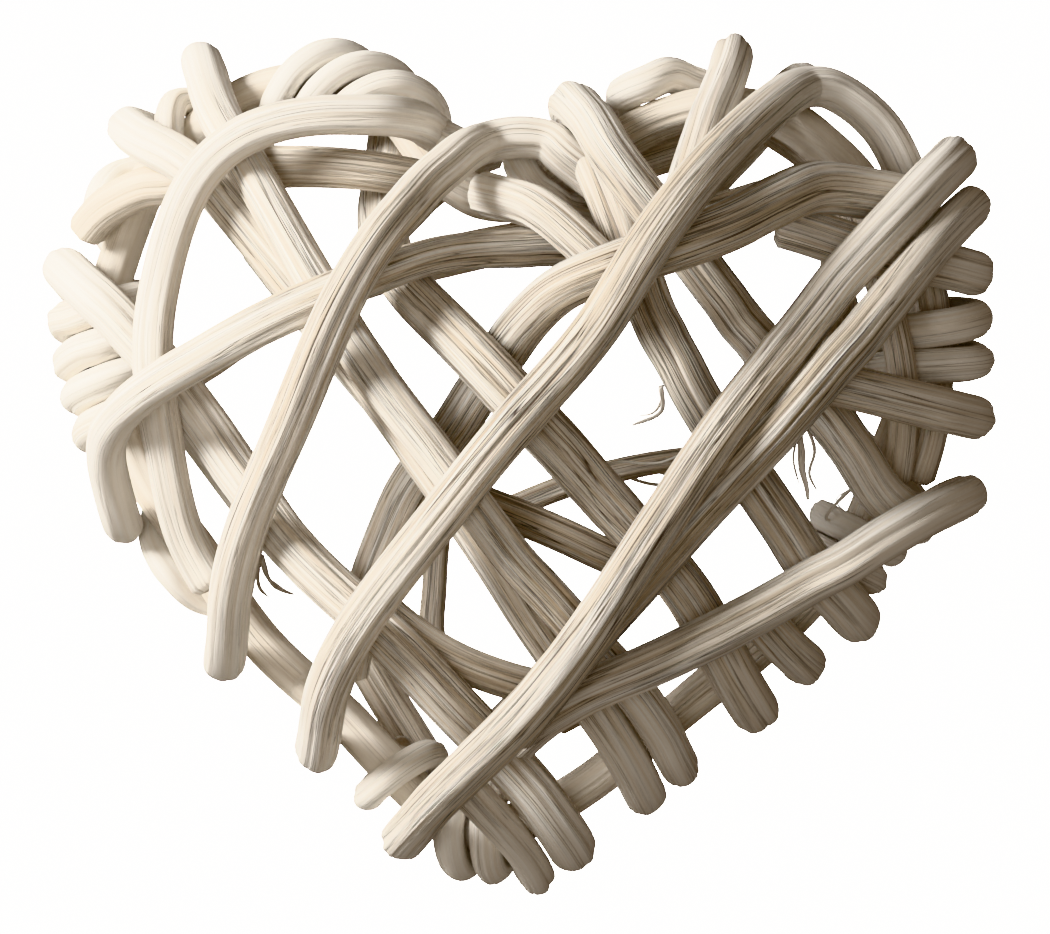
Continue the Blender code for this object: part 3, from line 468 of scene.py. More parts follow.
def tighten(radii, paths, orders, aways, rounds=260):
    """Draw the canes in against the cage and each other, keeping their order."""
    sizes = [len(p) for p in paths]
    first = np.concatenate([[0], np.cumsum(sizes)])
    strand = np.repeat(np.arange(len(paths)), sizes)
    local = np.concatenate([np.arange(n) for n in sizes])
    base = np.vstack(paths)
    rad = np.concatenate(radii)
    order = np.concatenate(orders)
    wrap = np.isnan(order)
    nor = cage_normal(base)
    sight = rays_to(base)
    face = (nor * sight).sum(1)          # +1 facing away from the eye, -1 towards it
    above = base[:, 2] - RIM_Z
    off = np.clip((np.concatenate(aways) - 1.5) / 4.0, 0.0, 1.0)
    side_of = np.where(above > 0, -1.0, 1.0)                   # towards the eye in front
    nor = (1.0 - 0.9 * off)[:, None] * nor + (off * side_of)[:, None] * sight
    nor /= np.linalg.norm(nor, axis=1)[:, None]
    ring = strand == 0
    mass = np.where(ring, 0.2, 1.0)
    # a wrap goes with the piece of the hoop that it is wound on
    anchor = np.arange(len(base))
    wi = np.nonzero(wrap)[0]
    for i in wi:
        anchor[i] = np.argmin(((base[:first[1], :2] - base[i, :2]) ** 2).sum(1))
    lift = np.where(wrap, 0.0, np.nan_to_num(order)) * 5.4
    lift *= np.where(lift > 0, np.maximum(off, 0.15), 1.0)
    # canes of negative order stay inside the cage's surface, a cane's width down
    aim = np.where(order < 0, np.maximum(order, -1.0) * 4.6, 0.0)
    aim = np.where(wrap, 0.0, aim)
    ahead = nor + (2.0 * off * side_of)[:, None] * sight
    ahead /= np.linalg.norm(ahead, axis=1)[:, None]
    u = lift[:, None] * ahead
    seg = np.nonzero(strand[:-1] == strand[1:])[0]
    seg_strand = strand[seg]
    kern = {0: 1.0, 1: 0.93, 2: 0.75, 3: 0.52, 4: 0.3, 5: 0.13}
    pairs = None
    lo, hi = first[strand], first[strand + 1] - 1
    idx = np.arange(len(base))
    prev = np.maximum(idx - 1, lo)
    nxt = np.minimum(idx + 1, hi)
    for it in range(rounds):
        last = it > rounds - 50
        if not last:
            # pull in towards the cage along its normal, and sideways to the course
            rel = u - np.where(wrap[:, None], u[anchor], 0.0)
            un = (rel * nor).sum(1)
            side = rel - un[:, None] * nor
            kn = np.where(wrap, 0.25, 0.03 if it < 110 else 0.01)
            kt = np.where(wrap, 0.25, 0.16)
            u = u - kn[:, None] * (un - aim)[:, None] * nor - kt[:, None] * side
            sm = 0.5 * u + 0.25 * (u[prev] + u[nxt])
            sm = np.where((idx == lo)[:, None], u * 0.5 + u[nxt] * 0.5, sm)
            sm = np.where((idx == hi)[:, None], u * 0.5 + u[prev] * 0.5, sm)
            u = sm
            u[hi[0]] = u[0] = 0.5 * (u[0] + u[hi[0]])
        pos = base + u
        low = REST_Z - pos[:, 2]
        u[:, 2] += np.maximum(low, 0)
        pos = base + u
        if it % 10 == 0:
            mid = 0.5 * (pos[seg] + pos[seg + 1])
            pairs = near_pairs(mid, seg_strand, local[seg], 10.5)
        i, j = seg[pairs[0]], seg[pairs[1]]
        d1, d2 = pos[i + 1] - pos[i], pos[j + 1] - pos[j]
        s, t = closest(pos[i], d1, pos[j], d2)
        w = (pos[i] + s[:, None] * d1) - (pos[j] + t[:, None] * d2)
        dist = np.linalg.norm(w, axis=1)
        need = rad[i] + rad[j] + GAP
        over = need - dist
        act = over > 0
        if act.any():
            i, j, w, dist, over = i[act], j[act], w[act], dist[act], over[act]
            dirn = w / np.maximum(dist, 1e-6)[:, None]
            mi, mj = mass[i], mass[j]
            tot = np.maximum(mi + mj, 1e-9)
            gi, gj = over * mi / tot, over * mj / tot
            acc = np.zeros_like(u)
            wt = np.zeros(len(u))
            for a, g, sg in ((i, gi, 1.0), (j, gj, -1.0)):
                for k in range(-5, 7):
                    kk = a + k
                    ok = (kk >= lo[a]) & (kk <= hi[a])
                    kw = kern[min(abs(k), abs(k - 1))]
                    near = kw * np.where(wrap[a] & (min(abs(k), abs(k - 1)) > 1), 0.15, 1.0)
                    np.add.at(acc, kk[ok], (sg * (near * g * over)[:, None] * dirn)[ok])
                    np.add.at(wt, kk[ok], (over * near)[ok])
            # weighted mean push, spread smoothly along the cane
            peak = np.zeros(len(u))
            for a, g in ((i, gi), (j, gj)):
                for k in range(-5, 7):
                    kk = a + k
                    ok = (kk >= lo[a]) & (kk <= hi[a])
                    kw = kern[min(abs(k), abs(k - 1))]
                    near = kw * np.where(wrap[a] & (min(abs(k), abs(k - 1)) > 1), 0.15, 1.0)
                    np.maximum.at(peak, kk[ok], near[ok])
            push = acc / np.maximum(wt, 1e-9)[:, None] * np.minimum(1.0, peak)[:, None]
            u = u + 0.9 * push
            u[hi[0]] = u[0] = 0.5 * (u[0] + u[hi[0]])
    pos = base + u
    return [pos[first[k]:first[k + 1]] for k in range(len(paths))]

PLUMP = 0.10           # the rods swell to meet where they cross (mm)
KEY, TOP, RIM = 0.62, 2.0, 0.9
WORLD = 0.17
FLOOR_GLOW = 14.0


# ------------------------------------------------------------ surface of a cane
def wander(rng, n, step, wave, amount):
    """A smooth random course of n values, step apart, that turns over about wave."""
    m = max(4, int(math.ceil(n * step / wave)) + 3)
    k = rng.normal(0.0, 1.0, m)
    u = np.arange(n) * step / wave + 1.0
    i = np.clip(u.astype(int), 1, m - 3)
    f = u - i
    f = f * f * (3 - 2 * f)
    return amount * (k[i] * (1 - f) + k[i + 1] * f)


def gate(rng, n, step, wave, share):
    """A smooth 0..1 course, near 1 over about that share of the length."""
    w = wander(rng, n, step, wave, 1.0)
    lim = {0.2: 0.84, 0.35: 0.39, 0.5: 0.0, 0.65: -0.39, 0.8: -0.84}[share]
    return 1 / (1 + np.exp(-(w - lim) * 5))


def smooth_course(p, closed, step):
    if closed:
        q = np.vstack([p[-7:-1], p, p[1:7]])
        s = lengths(q)
        f = cubic(s, q)
        a, b = s[6], s[-7]
        n = int(round((b - a) / step))
        return f(np.linspace(a, b, n + 1)[:-1])
    s = lengths(p)
    n = int(round(s[-1] / step))
    return cubic(s, p)(np.linspace(0, s[-1], n + 1))


def carried_frames(p, closed):
    t = np.roll(p, -1, 0) - np.roll(p, 1, 0)
    if not closed:
        t[0], t[-1] = p[1] - p[0], p[-1] - p[-2]
    t /= np.linalg.norm(t, axis=1)[:, None]
    a = np.zeros_like(p)
    ref = np.array([0, 0, 1.0]) if abs(t[0, 2]) < 0.9 else np.array([1.0, 0, 0])
    v = ref - (ref @ t[0]) * t[0]
    a[0] = v / np.linalg.norm(v)
    for i in range(1, len(p)):
        v = a[i - 1] - (a[i - 1] @ t[i]) * t[i]
        a[i] = v / np.linalg.norm(v)
    b = np.cross(t, a)
    if closed:
        v = a[-1] - (a[-1] @ t[0]) * t[0]
        tw = math.atan2(v @ b[0], v @ a[0])
        w = -tw * np.arange(len(p)) / len(p)
        a, b = (np.cos(w)[:, None] * a + np.sin(w)[:, None] * b,
                -np.sin(w)[:, None] * a + np.cos(w)[:, None] * b)
    return t, a, b


def cane_piece(k, name, radius, path):
    """A peeled rod: folded and cracked along its grain, with blunt cut ends."""
    rng = np.random.default_rng(4100 + k)
    closed = name == "rim_hoop"
    thin = radius.max() < 2.05
    step = 0.72 if not thin else 0.64
    sides = 80 if not thin else 58
    p = smooth_course(path, closed, step)
    n = len(p)
    s = np.arange(n) * step
    r0 = np.interp(np.linspace(0, 1, n), np.linspace(0, 1, len(radius)), radius) + PLUMP
    # slow swelling, and a leaf scar now and then
    r = r0 * (1 + wander(rng, n, step, 16, 0.028))
    at = rng.uniform(12, 30)
    scars = []
    while at < s[-1] - 8:
        scars.append((at, rng.uniform(0, 2 * math.pi)))
        at += rng.uniform(34, 62)
    phi = np.arange(sides) * 2 * math.pi / sides
    S, PH = np.meshgrid(s, phi, indexing="ij")
    d = np.zeros((n, sides))
    crease_shade_mask = np.zeros((n, sides))
    R = r[:, None]
    # how weathered the rod is, with painted shade in it: it rises towards the right, where the light falls off, and
    # darkens the colour there; smooth where it turns round the rim and at the left
    x = p[:, 0]
    mid = np.clip((-cage_depth(p)) / 0.34, 0, 1)
    wear_and_shade = np.clip(0.35 + 0.65 * np.clip((x + 48) / 60, 0, 1), 0, 1) * np.clip(0.32 + 0.68 * mid, 0, 1)
    if name.startswith("rim_"):
        wear_and_shade = wear_and_shade * 0.55
    wear_and_shade = np.clip(wear_and_shade + wander(rng, n, step, 18, 0.10), 0.06, 1.0)
    W = wear_and_shade[:, None]
    # flat and lobed section
    for m, amp in ((2, 0.050), (3, 0.045), (5, 0.022)):
        ph = rng.uniform(0, 6.28) + wander(rng, n, step, 26, 0.5)
        d += (r0 * amp * (0.6 + 0.4 * np.tanh(wander(rng, n, step, 20, 1.0))))[:, None] * np.cos(m * PH + ph[:, None])

    def crease(width, depth, share, wave, swing, dark, sharp):
        nonlocal d, crease_shade_mask
        c = rng.uniform(0, 2 * math.pi) + wander(rng, n, step, wave, swing)
        g = gate(rng, n, step, wave * 0.8, share)[:, None] * (0.35 + 0.65 * W)
        e = (PH - c[:, None] + math.pi) % (2 * math.pi) - math.pi
        e = e * R / (width * (0.7 + 0.6 * g))
        v = np.exp(-np.abs(e) ** sharp)
        d -= depth * g * v
        d += 0.30 * depth * g * np.exp(-(np.abs(e) - 1.7) ** 2)
        # painted shade: the colour mask grows with the crease's depth, so folds and splits are darkened where shade
        # falls
        crease_shade_mask = np.maximum(crease_shade_mask, dark * g * v)

    for _ in range(5 if not thin else 3):     # broad folds
        crease(0.60, 0.30, 0.65, 44, 0.14, 0.50, 1.8)
    for _ in range(12 if not thin else 6):    # narrow splits
        crease(0.20, 0.16, 0.5, 36, 0.09, 1.0, 1.5)
    # fibre ridges, too fine to follow singly
    fib = np.zeros((n, sides))
    for m in (11, 17, 25, 33):
        ph = rng.uniform(0, 6.28) + wander(rng, n, step, 22, 0.9)
        fib += np.cos(m * PH + ph[:, None]) * (0.5 + 0.5 * np.tanh(wander(rng, n, step, 16, 1.2)))[:, None]
    d += 0.020 * fib * (0.25 + W)
    for at, ang in scars:
        e = (PH - ang + math.pi) % (2 * math.pi) - math.pi
        g = np.exp(-((S - at) / 1.3) ** 2 - (e * R / 1.5) ** 2)
        ring = np.exp(-((S - at) / 1.8) ** 2)
        d += 0.16 * g + 0.07 * ring
        # a dark mark at the foot of each leaf scar, in the same painted shade mask
        crease_shade_mask = np.maximum(crease_shade_mask, 0.35 * np.exp(-((S - at + 1.2) / 0.35) ** 2 - (e * R / 1.1) ** 2))
    d = np.minimum(d, 0.12)
    if not closed:                        # blunt ends, cut and a little rounded
        edge = np.minimum(s, s[-1] - s)
        cut = np.clip(edge / 0.7, 0, 1)
        cut = np.sqrt(1 - (1 - cut) ** 2)
        r = r * (0.72 + 0.28 * cut)
        d *= np.clip(edge / 0.7, 0.2, 1)[:, None]
    t, a, b = carried_frames(p, closed)
    rad = r[:, None] + d
    V = (p[:, None, :] + rad[:, :, None] * (np.cos(PH)[:, :, None] * a[:, None, :]
                                            + np.sin(PH)[:, :, None] * b[:, None, :]))
    V[:, :, 2] = np.maximum(V[:, :, 2], 0.0)
    off = 137.0 * (k + 1)
    G = np.stack([S + off, np.cos(PH) * R, np.sin(PH) * R], -1)
    V = V.reshape(-1, 3)
    G = G.reshape(-1, 3)
    crease_shade_mask = crease_shade_mask.reshape(-1)
    Wv = np.broadcast_to(W, (n, sides)).reshape(-1).copy()
    cutend = np.zeros(len(V))
    quads = []
    rows = n if closed else n - 1
    i0 = np.arange(rows)[:, None] * sides
    i1 = ((np.arange(rows) + 1) % n)[:, None] * sides
    c0 = np.arange(sides)[None, :]
    c1 = (c0 + 1) % sides
    quads = np.stack([i0 + c0, i0 + c1, i1 + c1, i1 + c0], -1).reshape(-1, 4)
    faces = quads.tolist()
    if not closed:
        for end, sgn in ((0, -1), (n - 1, 1)):
            base = end * sides
            ring = np.arange(sides) + base
            inner = len(V)
            c = p[end]
            add = c + 0.55 * (V[ring] - c) + sgn * 0.10 * t[end]
            V = np.vstack([V, add, [c + sgn * 0.06 * t[end]]])
            V[:, 2] = np.maximum(V[:, 2], 0.0)
            G = np.vstack([G, G[ring] * [1, 0.55, 0.55], [[G[base, 0], 0, 0]]])
            crease_shade_mask = np.concatenate([crease_shade_mask, np.full(sides, 0.1), [0.9]])
            Wv = np.concatenate([Wv, np.full(sides + 1, 0.8)])
            cutend = np.concatenate([cutend, np.ones(sides + 1)])
            hub = inner + sides
            for q in range(sides):
                q1 = (q + 1) % sides
                if sgn > 0:
                    faces.append([base + q, base + q1, inner + q1, inner + q])
                    faces.append([inner + q, inner + q1, hub])
                else:
                    faces.append([base + q1, base + q, inner + q, inner + q1])
                    faces.append([inner + q1, inner + q, hub])
    V = (V - [MIDDLE[0], MIDDLE[1], 0.0]) * MM
    me = bpy.data.meshes.new(name + "_rod")
    me.from_pydata(V.tolist(), [], faces)
    me.validate(verbose=False)
    me.update()
    for key, kind, val in (("grain", "FLOAT_VECTOR", G), ("crease_shade", "FLOAT", crease_shade_mask),
                           ("wear_and_shade", "FLOAT", Wv), ("cutend", "FLOAT", cutend)):
        at = me.attributes.new(key, kind, "POINT")
        at.data.foreach_set("vector" if kind == "FLOAT_VECTOR" else "value", np.ascontiguousarray(val, dtype=np.float32).ravel())
    me.polygons.foreach_set("use_smooth", np.ones(len(me.polygons), bool))
    return bpy.data.objects.new(name + "_rod", me)


def cage_depth(p):
    """0 at the rim's outer edge, about -1 at the middle of the heart, in plan."""
    d = p[:, :2] - CENTRE
    r = np.hypot(d[:, 0], d[:, 1])
    th = np.arctan2(d[:, 1], d[:, 0])
    return r / (np.interp(th, _TH, _RR) + LAP) - 1.0


# ------------------------------------------------------------------- materials
class Tree:
    def __init__(self, mat):
        self.t = mat.node_tree
        self.n = self.t.nodes
        self.l = self.t.links

    def add(self, kind, **kw):
        nd = self.n.new(kind)
        for k, v in kw.items():
            setattr(nd, k, v)
        return nd

    def put(self, sock, v):
        if isinstance(v, bpy.types.NodeSocket):
            self.l.new(v, sock)
        else:
            sock.default_value = v

    def math(self, op, a, b=None, c=None, clamp=False):
        nd = self.add("ShaderNodeMath", operation=op, use_clamp=clamp)
        self.put(nd.inputs[0], a)
        if b is not None:
            self.put(nd.inputs[1], b)
        if c is not None:
            self.put(nd.inputs[2], c)
        return nd.outputs[0]

    def remap(self, v, a, b, c=0.0, d=1.0, smooth=False):
        nd = self.add("ShaderNodeMapRange", interpolation_type="SMOOTHSTEP" if smooth else "LINEAR", clamp=True)
        self.put(nd.inputs["Value"], v)
        for key, x in (("From Min", a), ("From Max", b), ("To Min", c), ("To Max", d)):
            self.put(nd.inputs[key], x)
        return nd.outputs["Result"]

    def mix(self, f, a, b, blend="MIX"):
        nd = self.add("ShaderNodeMix", data_type="RGBA", blend_type=blend)
        self.put(nd.inputs[0], f)
        self.put(nd.inputs[6], a if isinstance(a, bpy.types.NodeSocket) else (*a, 1.0))
        self.put(nd.inputs[7], b if isinstance(b, bpy.types.NodeSocket) else (*b, 1.0))
        return nd.outputs[2]

    def stretch(self, vec, sx, syz, shift=0.0):
        nd = self.add("ShaderNodeMapping")
        self.put(nd.inputs["Vector"], vec)
        nd.inputs["Scale"].default_value = (sx, syz, syz)
        nd.inputs["Location"].default_value = (shift, shift * 0.37, -shift * 0.61)
        return nd.outputs[0]

    def noise(self, vec, detail=3.0, rough=0.55, distort=0.0):
        nd = self.add("ShaderNodeTexNoise")
        self.put(nd.inputs["Vector"], vec)
        nd.inputs["Scale"].default_value = 1.0
        nd.inputs["Detail"].default_value = detail
        nd.inputs["Roughness"].default_value = rough
        nd.inputs["Distortion"].default_value = distort
        return nd.outputs["Fac"]


def willow(name, white, warm, bare, dark, wash):
    """Whitewash rubbed into peeled willow: streaked, with dark cracks along the grain, and painted shade that darkens
    the creases and the right-hand side.
    """
    mat = bpy.data.materials.new(name)
    mat.use_nodes = True
    T = Tree(mat)
    bsdf = T.n["Principled BSDF"]
    g = T.add("ShaderNodeAttribute", attribute_name="grain").outputs["Vector"]
    crease_shade = T.add("ShaderNodeAttribute", attribute_name="crease_shade").outputs["Fac"]
    wear_and_shade = T.add("ShaderNodeAttribute", attribute_name="wear_and_shade").outputs["Fac"]
    cutend = T.add("ShaderNodeAttribute", attribute_name="cutend").outputs["Fac"]
    broad = T.noise(T.stretch(g, 0.022, 0.55, 3.1), 1.0, 0.5)
    streak = T.noise(T.stretch(g, 0.028, 1.9, 11.0), 2.0, 0.55)
    fibre = T.noise(T.stretch(g, 0.060, 5.5, 23.0), 2.0, 0.6)
    hair = T.noise(T.stretch(g, 0.20, 14.0, 41.0), 0.0, 0.6)
    speck = T.noise(T.stretch(g, 2.6, 3.4, 5.0), 1.0, 0.6)

    def cracks(sx, syz, shift, width, gate_lo, gate_hi):
        n = T.noise(T.stretch(g, sx, syz, shift), 1.0, 0.45)
        e = T.math("ABSOLUTE", T.math("SUBTRACT", n, 0.5))
        line = T.remap(e, width, 0.0, 0.0, 1.0)
        m = T.noise(T.stretch(g, sx * 2.0, syz * 0.35, shift + 50.0), 0.0, 0.5)
        need = T.math("SUBTRACT", gate_hi, T.math("MULTIPLY", wear_and_shade, gate_hi - gate_lo))
        on = T.remap(T.math("SUBTRACT", m, need), -0.03, 0.05, 0.0, 1.0)
        return T.math("MULTIPLY", line, on)

    c1 = cracks(0.014, 0.95, 7.0, 0.013, 0.36, 0.62)
    c2 = cracks(0.024, 2.2, 31.0, 0.022, 0.38, 0.66)
    c3 = cracks(0.040, 4.2, 77.0, 0.034, 0.40, 0.70)
    crack = T.math("MAXIMUM", c1, T.math("MAXIMUM", T.math("MULTIPLY", c2, 0.8), T.math("MULTIPLY", c3, 0.62)))
    crack = T.math("MINIMUM", crack, 1.0)
    # colour
    # the weathering attribute also carries painted shade, rising towards the right; it sets how far each mix below
    # darkens
    k = T.math("MULTIPLY", T.remap(streak, 0.36, 0.66, 0.0, 1.0), T.math("ADD", T.math("MULTIPLY", wear_and_shade, 0.75), 0.12))
    col = T.mix(k, white, warm)
    k = T.math("MULTIPLY", T.remap(broad, 0.48, 0.72, 0.0, 1.0), T.math("MULTIPLY", wear_and_shade, 0.55))
    col = T.mix(k, col, warm)
    k = T.math("MULTIPLY", T.remap(fibre, 0.50, 0.78, 0.0, 1.0), T.math("MULTIPLY", wear_and_shade, wash))
    col = T.mix(k, col, bare)
    k = T.math("MULTIPLY", T.remap(speck, 0.66, 0.84, 0.0, 0.3), wear_and_shade)
    col = T.mix(k, col, bare)
    # painted shade: the creases turn brown, and the deepest of them dark, by how deep they are
    k = T.math("MULTIPLY", T.remap(crease_shade, 0.25, 0.95, 0.0, 0.62), T.math("ADD", T.math("MULTIPLY", wear_and_shade, 0.8), 0.2))
    col = T.mix(k, col, bare)
    k = T.math("MULTIPLY", T.remap(crease_shade, 0.70, 1.0, 0.0, 0.75), T.math("MULTIPLY", wear_and_shade, T.remap(fibre, 0.35, 0.6, 0.2, 1.0)))
    col = T.mix(k, col, dark)
    k = T.math("MULTIPLY", crack, T.math("ADD", T.math("MULTIPLY", wear_and_shade, 0.86), 0.14))
    col = T.mix(k, col, dark)
    col = T.mix(T.math("MULTIPLY", cutend, 0.7), col, bare)
    T.put(bsdf.inputs["Base Color"], col)
    # finish
    ro = T.remap(fibre, 0.3, 0.75, 0.46, 0.70)
    ro = T.math("ADD", ro, T.math("MULTIPLY", crack, 0.2), clamp=True)
    T.put(bsdf.inputs["Roughness"], ro)
    bsdf.inputs["Specular IOR Level"].default_value = 0.35
    bsdf.inputs["Sheen Weight"].default_value = 0.06
    bsdf.inputs["Sheen Roughness"].default_value = 0.5
    # relief
    h = T.math("MULTIPLY", fibre, T.math("ADD", T.math("MULTIPLY", wear_and_shade, 0.45), 0.10))
    h = T.math("ADD", h, T.math("MULTIPLY", hair, T.math("MULTIPLY", wear_and_shade, 0.24)))
    h = T.math("ADD", h, T.math("MULTIPLY", streak, T.math("ADD", T.math("MULTIPLY", wear_and_shade, 0.5), 0.15)))
    h = T.math("SUBTRACT", h, T.math("MULTIPLY", crack, T.math("ADD", T.math("MULTIPLY", wear_and_shade, 0.6), 0.15)))
    bump = T.add("ShaderNodeBump")
    bump.inputs["Strength"].default_value = 0.85
    bump.inputs["Distance"].default_value = 0.00032
    T.put(bump.inputs["Height"], h)
    T.put(bsdf.inputs["Normal"], bump.outputs[0])
    return mat


# ----------------------------------------------------------------- the rods
names, radii, paths, orders, aways = build_courses()
paths = tighten(radii, paths, orders, aways)

WILLOW = willow("whitewashed_willow", (0.875, 0.85, 0.80), (0.66, 0.555, 0.42), (0.36, 0.26, 0.165), (0.055, 0.034, 0.021), 0.66)
# a darker copy of the same willow, painted shade for the canes that lie in the cage's shadow
WILLOW_IN_SHADE = willow("willow_darkened_as_shade", (0.81, 0.755, 0.67), (0.57, 0.46, 0.33), (0.32, 0.225, 0.14), (0.050, 0.032, 0.020), 0.76)

for k, (name, radius, path) in enumerate(zip(names, radii, paths)):
    rod = cane_piece(k, name, radius, path)
    bpy.context.scene.collection.objects.link(rod)
    # canes inside or behind the cage, and the hoop under its wraps, take the darker copy: painted shade
    inside = "inner" in name or "back" in name or name == "rim_hoop"
    rod.data.materials.append(WILLOW_IN_SHADE if inside else WILLOW)
    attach(rod, "root")
    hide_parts(name)


# Loose fibres that hang from the canes, as they show in the front view: points,
# radius (mm) and how far each next point drops away from the eye (mm).
FIBRES = [
    ([(662, 388), (660, 404), (648, 417), (634, 424)], 0.50, 0.6),
    ([(664, 392), (656, 410), (640, 416)], 0.28, 0.9),
    ([(742, 372), (756, 380), (760, 396), (750, 408)], 0.30, 0.8),
    ([(752, 398), (742, 412), (726, 420)], 0.22, 0.5),
    ([(801, 428), (800, 452), (806, 476), (808, 498)], 0.55, 1.2),
    ([(808, 430), (815, 452), (812, 474), (818, 488)], 0.34, 1.0),
    ([(797, 436), (794, 458), (799, 482)], 0.26, 1.4),
    ([(866, 488), (848, 490), (836, 502), (826, 518), (838, 522)], 0.30, 0.7),
    ([(872, 506), (858, 514), (846, 512), (838, 500), (850, 490)], 0.26, 0.5),
    ([(868, 520), (854, 524), (842, 516)], 0.22, 0.8),
    ([(262, 556), (268, 574), (280, 590), (294, 596)], 0.45, 0.8),
    ([(258, 562), (258, 584), (270, 598)], 0.30, 1.0),
    ([(276, 566), (290, 574), (298, 588)], 0.26, 0.6),
    ([(612, 478), (640, 470), (668, 474), (692, 468)], 0.30, 0.3),
    ([(606, 466), (632, 478), (664, 484), (684, 480)], 0.34, 0.5),
    ([(590, 470), (622, 460), (654, 462), (690, 452)], 0.26, -0.3),
    ([(604, 752), (612, 764), (606, 776)], 0.26, 0.6),
    ([(588, 292), (594, 304), (604, 312)], 0.24, 0.3),
]


def loose_fibres():
    """Torn strips of the rods' skin, each a thin tapering ribbon."""
    allp = np.vstack([p for n, p in zip(names, paths)])
    v = allp - EYE
    dep = -(v @ _d)
    f = VIEW_SCALE * VIEW_DIST
    px = np.column_stack([VIEW_C[0] + f * (v @ _x) / dep, VIEW_C[1] - f * (v @ _y) / dep])
    rng = np.random.default_rng(77)
    V, F, G, W = [], [], [], []
    for q, r, drop in FIBRES:
        q = np.array(q, float)
        k = int(np.argmin(((px - q[0]) ** 2).sum(1)))
        d0 = dep[k] + 1.6
        ray = rays(q)
        t = (d0 + drop * np.arange(len(q))) / -(ray @ _d)
        p = EYE + t[:, None] * ray
        s = lengths(p)
        n = max(10, int(s[-1] / 0.35))
        c = cubic(s, p)(np.linspace(0, s[-1], n))
        c += np.stack([wander(rng, n, 0.35, 2.6, 0.16) for _ in range(3)], 1)
        tt, a, b = carried_frames(c, False)
        u = np.linspace(0, 1, n)
        rr = 1.35 * r * (1.0 - 0.75 * u ** 1.6) * (1 + wander(rng, n, 0.35, 1.5, 0.12))
        m = 10
        ph = np.arange(m) * 2 * math.pi / m
        tw = 1.2 * u
        base = len(V)
        for i in range(n):
            ca, sa = math.cos(tw[i]), math.sin(tw[i])
            e1, e2 = ca * a[i] + sa * b[i], -sa * a[i] + ca * b[i]
            for w in ph:
                V.append(c[i] + rr[i] * (math.cos(w) * e1 + 0.45 * math.sin(w) * e2))
                G.append((u[i] * s[-1] + 900.0 + k, rr[i] * math.cos(w), rr[i] * math.sin(w)))
        for i in range(n - 1):
            for j in range(m):
                j1 = (j + 1) % m
                F.append([base + i * m + j, base + i * m + j1, base + (i + 1) * m + j1, base + (i + 1) * m + j])
        F.append([base + j for j in reversed(range(m))])
        F.append([base + (n - 1) * m + j for j in range(m)])
    V = (np.array(V) - [MIDDLE[0], MIDDLE[1], 0.0])
    V[:, 2] = np.maximum(V[:, 2], 0.0)
    me = bpy.data.meshes.new("loose_fibres")
    me.from_pydata((V * MM).tolist(), [], F)
    me.update()
    n = len(V)
    for key, kind, val in (("grain", "FLOAT_VECTOR", np.array(G)), ("crease_shade", "FLOAT", np.full(n, 0.15)),
                           ("wear_and_shade", "FLOAT", np.full(n, 0.30)), ("cutend", "FLOAT", np.full(n, 0.0))):
        at = me.attributes.new(key, kind, "POINT")
        at.data.foreach_set("vector" if kind == "FLOAT_VECTOR" else "value", np.ascontiguousarray(val, dtype=np.float32).ravel())
    me.polygons.foreach_set("use_smooth", np.ones(len(me.polygons), bool))
    ob = bpy.data.objects.new("loose_fibres", me)
    me.materials.append(WILLOW)
    bpy.context.scene.collection.objects.link(ob)
    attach(ob, "root")
    return ob


loose_fibres()


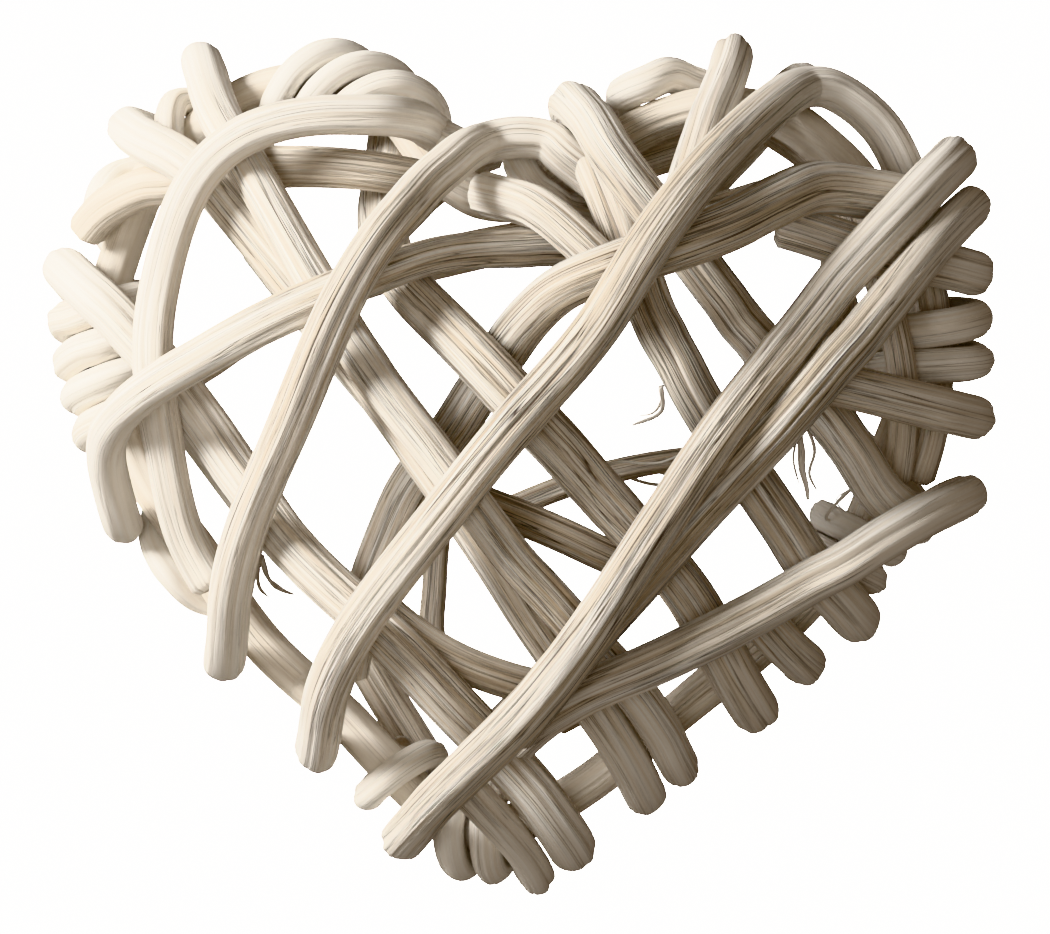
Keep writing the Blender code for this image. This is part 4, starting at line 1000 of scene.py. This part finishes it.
# --------------------------------------------------------------------- stage
def stage_floor():
    """A flat pale floor that curves up far behind the part on every side."""
    prof = [(0.0, 0.0)] + [(r, 0.0) for r in (0.5, 1.5, 3.0)]
    prof += [(3.0 + 2.0 * math.sin(a), 2.0 - 2.0 * math.cos(a)) for a in np.linspace(0.1, math.pi / 2, 12)]
    prof += [(5.0, 5.0)]
    m = 96
    V, F = [(0.0, 0.0, -0.0002)], []
    for r, z in prof[1:]:
        V += [(r * math.cos(2 * math.pi * q / m), r * math.sin(2 * math.pi * q / m), z - 0.0002) for q in range(m)]
    for q in range(m):
        F.append((0, 1 + q, 1 + (q + 1) % m))
    for i in range(len(prof) - 2):
        for q in range(m):
            a, b = 1 + i * m + q, 1 + i * m + (q + 1) % m
            F.append((a, a + m, b + m, b))
    me = bpy.data.meshes.new("floor")
    me.from_pydata(V, [], F)
    me.polygons.foreach_set("use_smooth", np.ones(len(me.polygons), bool))
    ob = bpy.data.objects.new("floor", me)
    mat = bpy.data.materials.new("pale_floor")
    mat.use_nodes = True
    s = mat.node_tree.nodes["Principled BSDF"]
    s.inputs["Base Color"].default_value = (0.90, 0.895, 0.885, 1.0)
    s.inputs["Roughness"].default_value = 0.9
    s.inputs["Specular IOR Level"].default_value = 0.1
    s.inputs["Emission Color"].default_value = (1.0, 0.995, 0.985, 1.0)
    s.inputs["Emission Strength"].default_value = FLOOR_GLOW
    mat.cycles.emission_sampling = "NONE"
    me.materials.append(mat)
    bpy.context.scene.collection.objects.link(ob)
    ob.visible_diffuse = False
    ob.visible_glossy = False
    ob.visible_shadow = False
    return ob


def area(name, loc, target, size, power, colour, size_y=None):
    d = bpy.data.lights.new(name, "AREA")
    d.shape = "RECTANGLE" if size_y else "DISK"
    d.size = size
    if size_y:
        d.size_y = size_y
    d.energy = power
    d.color = colour
    o = bpy.data.objects.new(name, d)
    o.location = loc
    v = mathutils.Vector(target) - mathutils.Vector(loc)
    o.rotation_euler = v.to_track_quat("-Z", "Y").to_euler()
    bpy.context.scene.collection.objects.link(o)
    return o


stage_floor()
key = area("key", (-0.27, 0.17, 0.27), (-0.075, 0.03, 0.03), 0.20, KEY, (1.0, 0.99, 0.975))
key.data.spread = math.radians(75)
area("top", (0.05, -0.12, 0.95), (0.0, 0.0, 0.03), 0.60, TOP, (1.0, 0.96, 0.90))
area("side", (-0.60, -0.10, 0.22), (0.0, 0.0, 0.03), 0.40, RIM, (1.0, 0.95, 0.88))

world = bpy.data.worlds.new("studio")
world.use_nodes = True
world.node_tree.nodes["Background"].inputs["Color"].default_value = (1.0, 0.81, 0.62, 1.0)
world.node_tree.nodes["Background"].inputs["Strength"].default_value = WORLD
bpy.context.scene.world = world

# -------------------------------------------------------------------- camera
cam_data = bpy.data.cameras.new("view")
cam_data.sensor_fit = "HORIZONTAL"
cam_data.sensor_width = 36.0
cam_data.lens = 36.0 * VIEW_SCALE * VIEW_DIST / 1050.0
cam_data.clip_start = 0.01
cam_data.clip_end = 50.0
cam = bpy.data.objects.new("view", cam_data)
eye = (EYE - np.array([MIDDLE[0], MIDDLE[1], 0.0])) * MM
cam.matrix_world = mathutils.Matrix((
    (_x[0], _y[0], _d[0], eye[0]),
    (_x[1], _y[1], _d[1], eye[1]),
    (_x[2], _y[2], _d[2], eye[2]),
    (0.0, 0.0, 0.0, 1.0)))
bpy.context.scene.collection.objects.link(cam)
bpy.context.scene.camera = cam

vs = bpy.context.scene.view_settings
vs.view_transform = "Khronos PBR Neutral"
vs.look = "None"
vs.exposure = 0.0
vs.gamma = 1.0
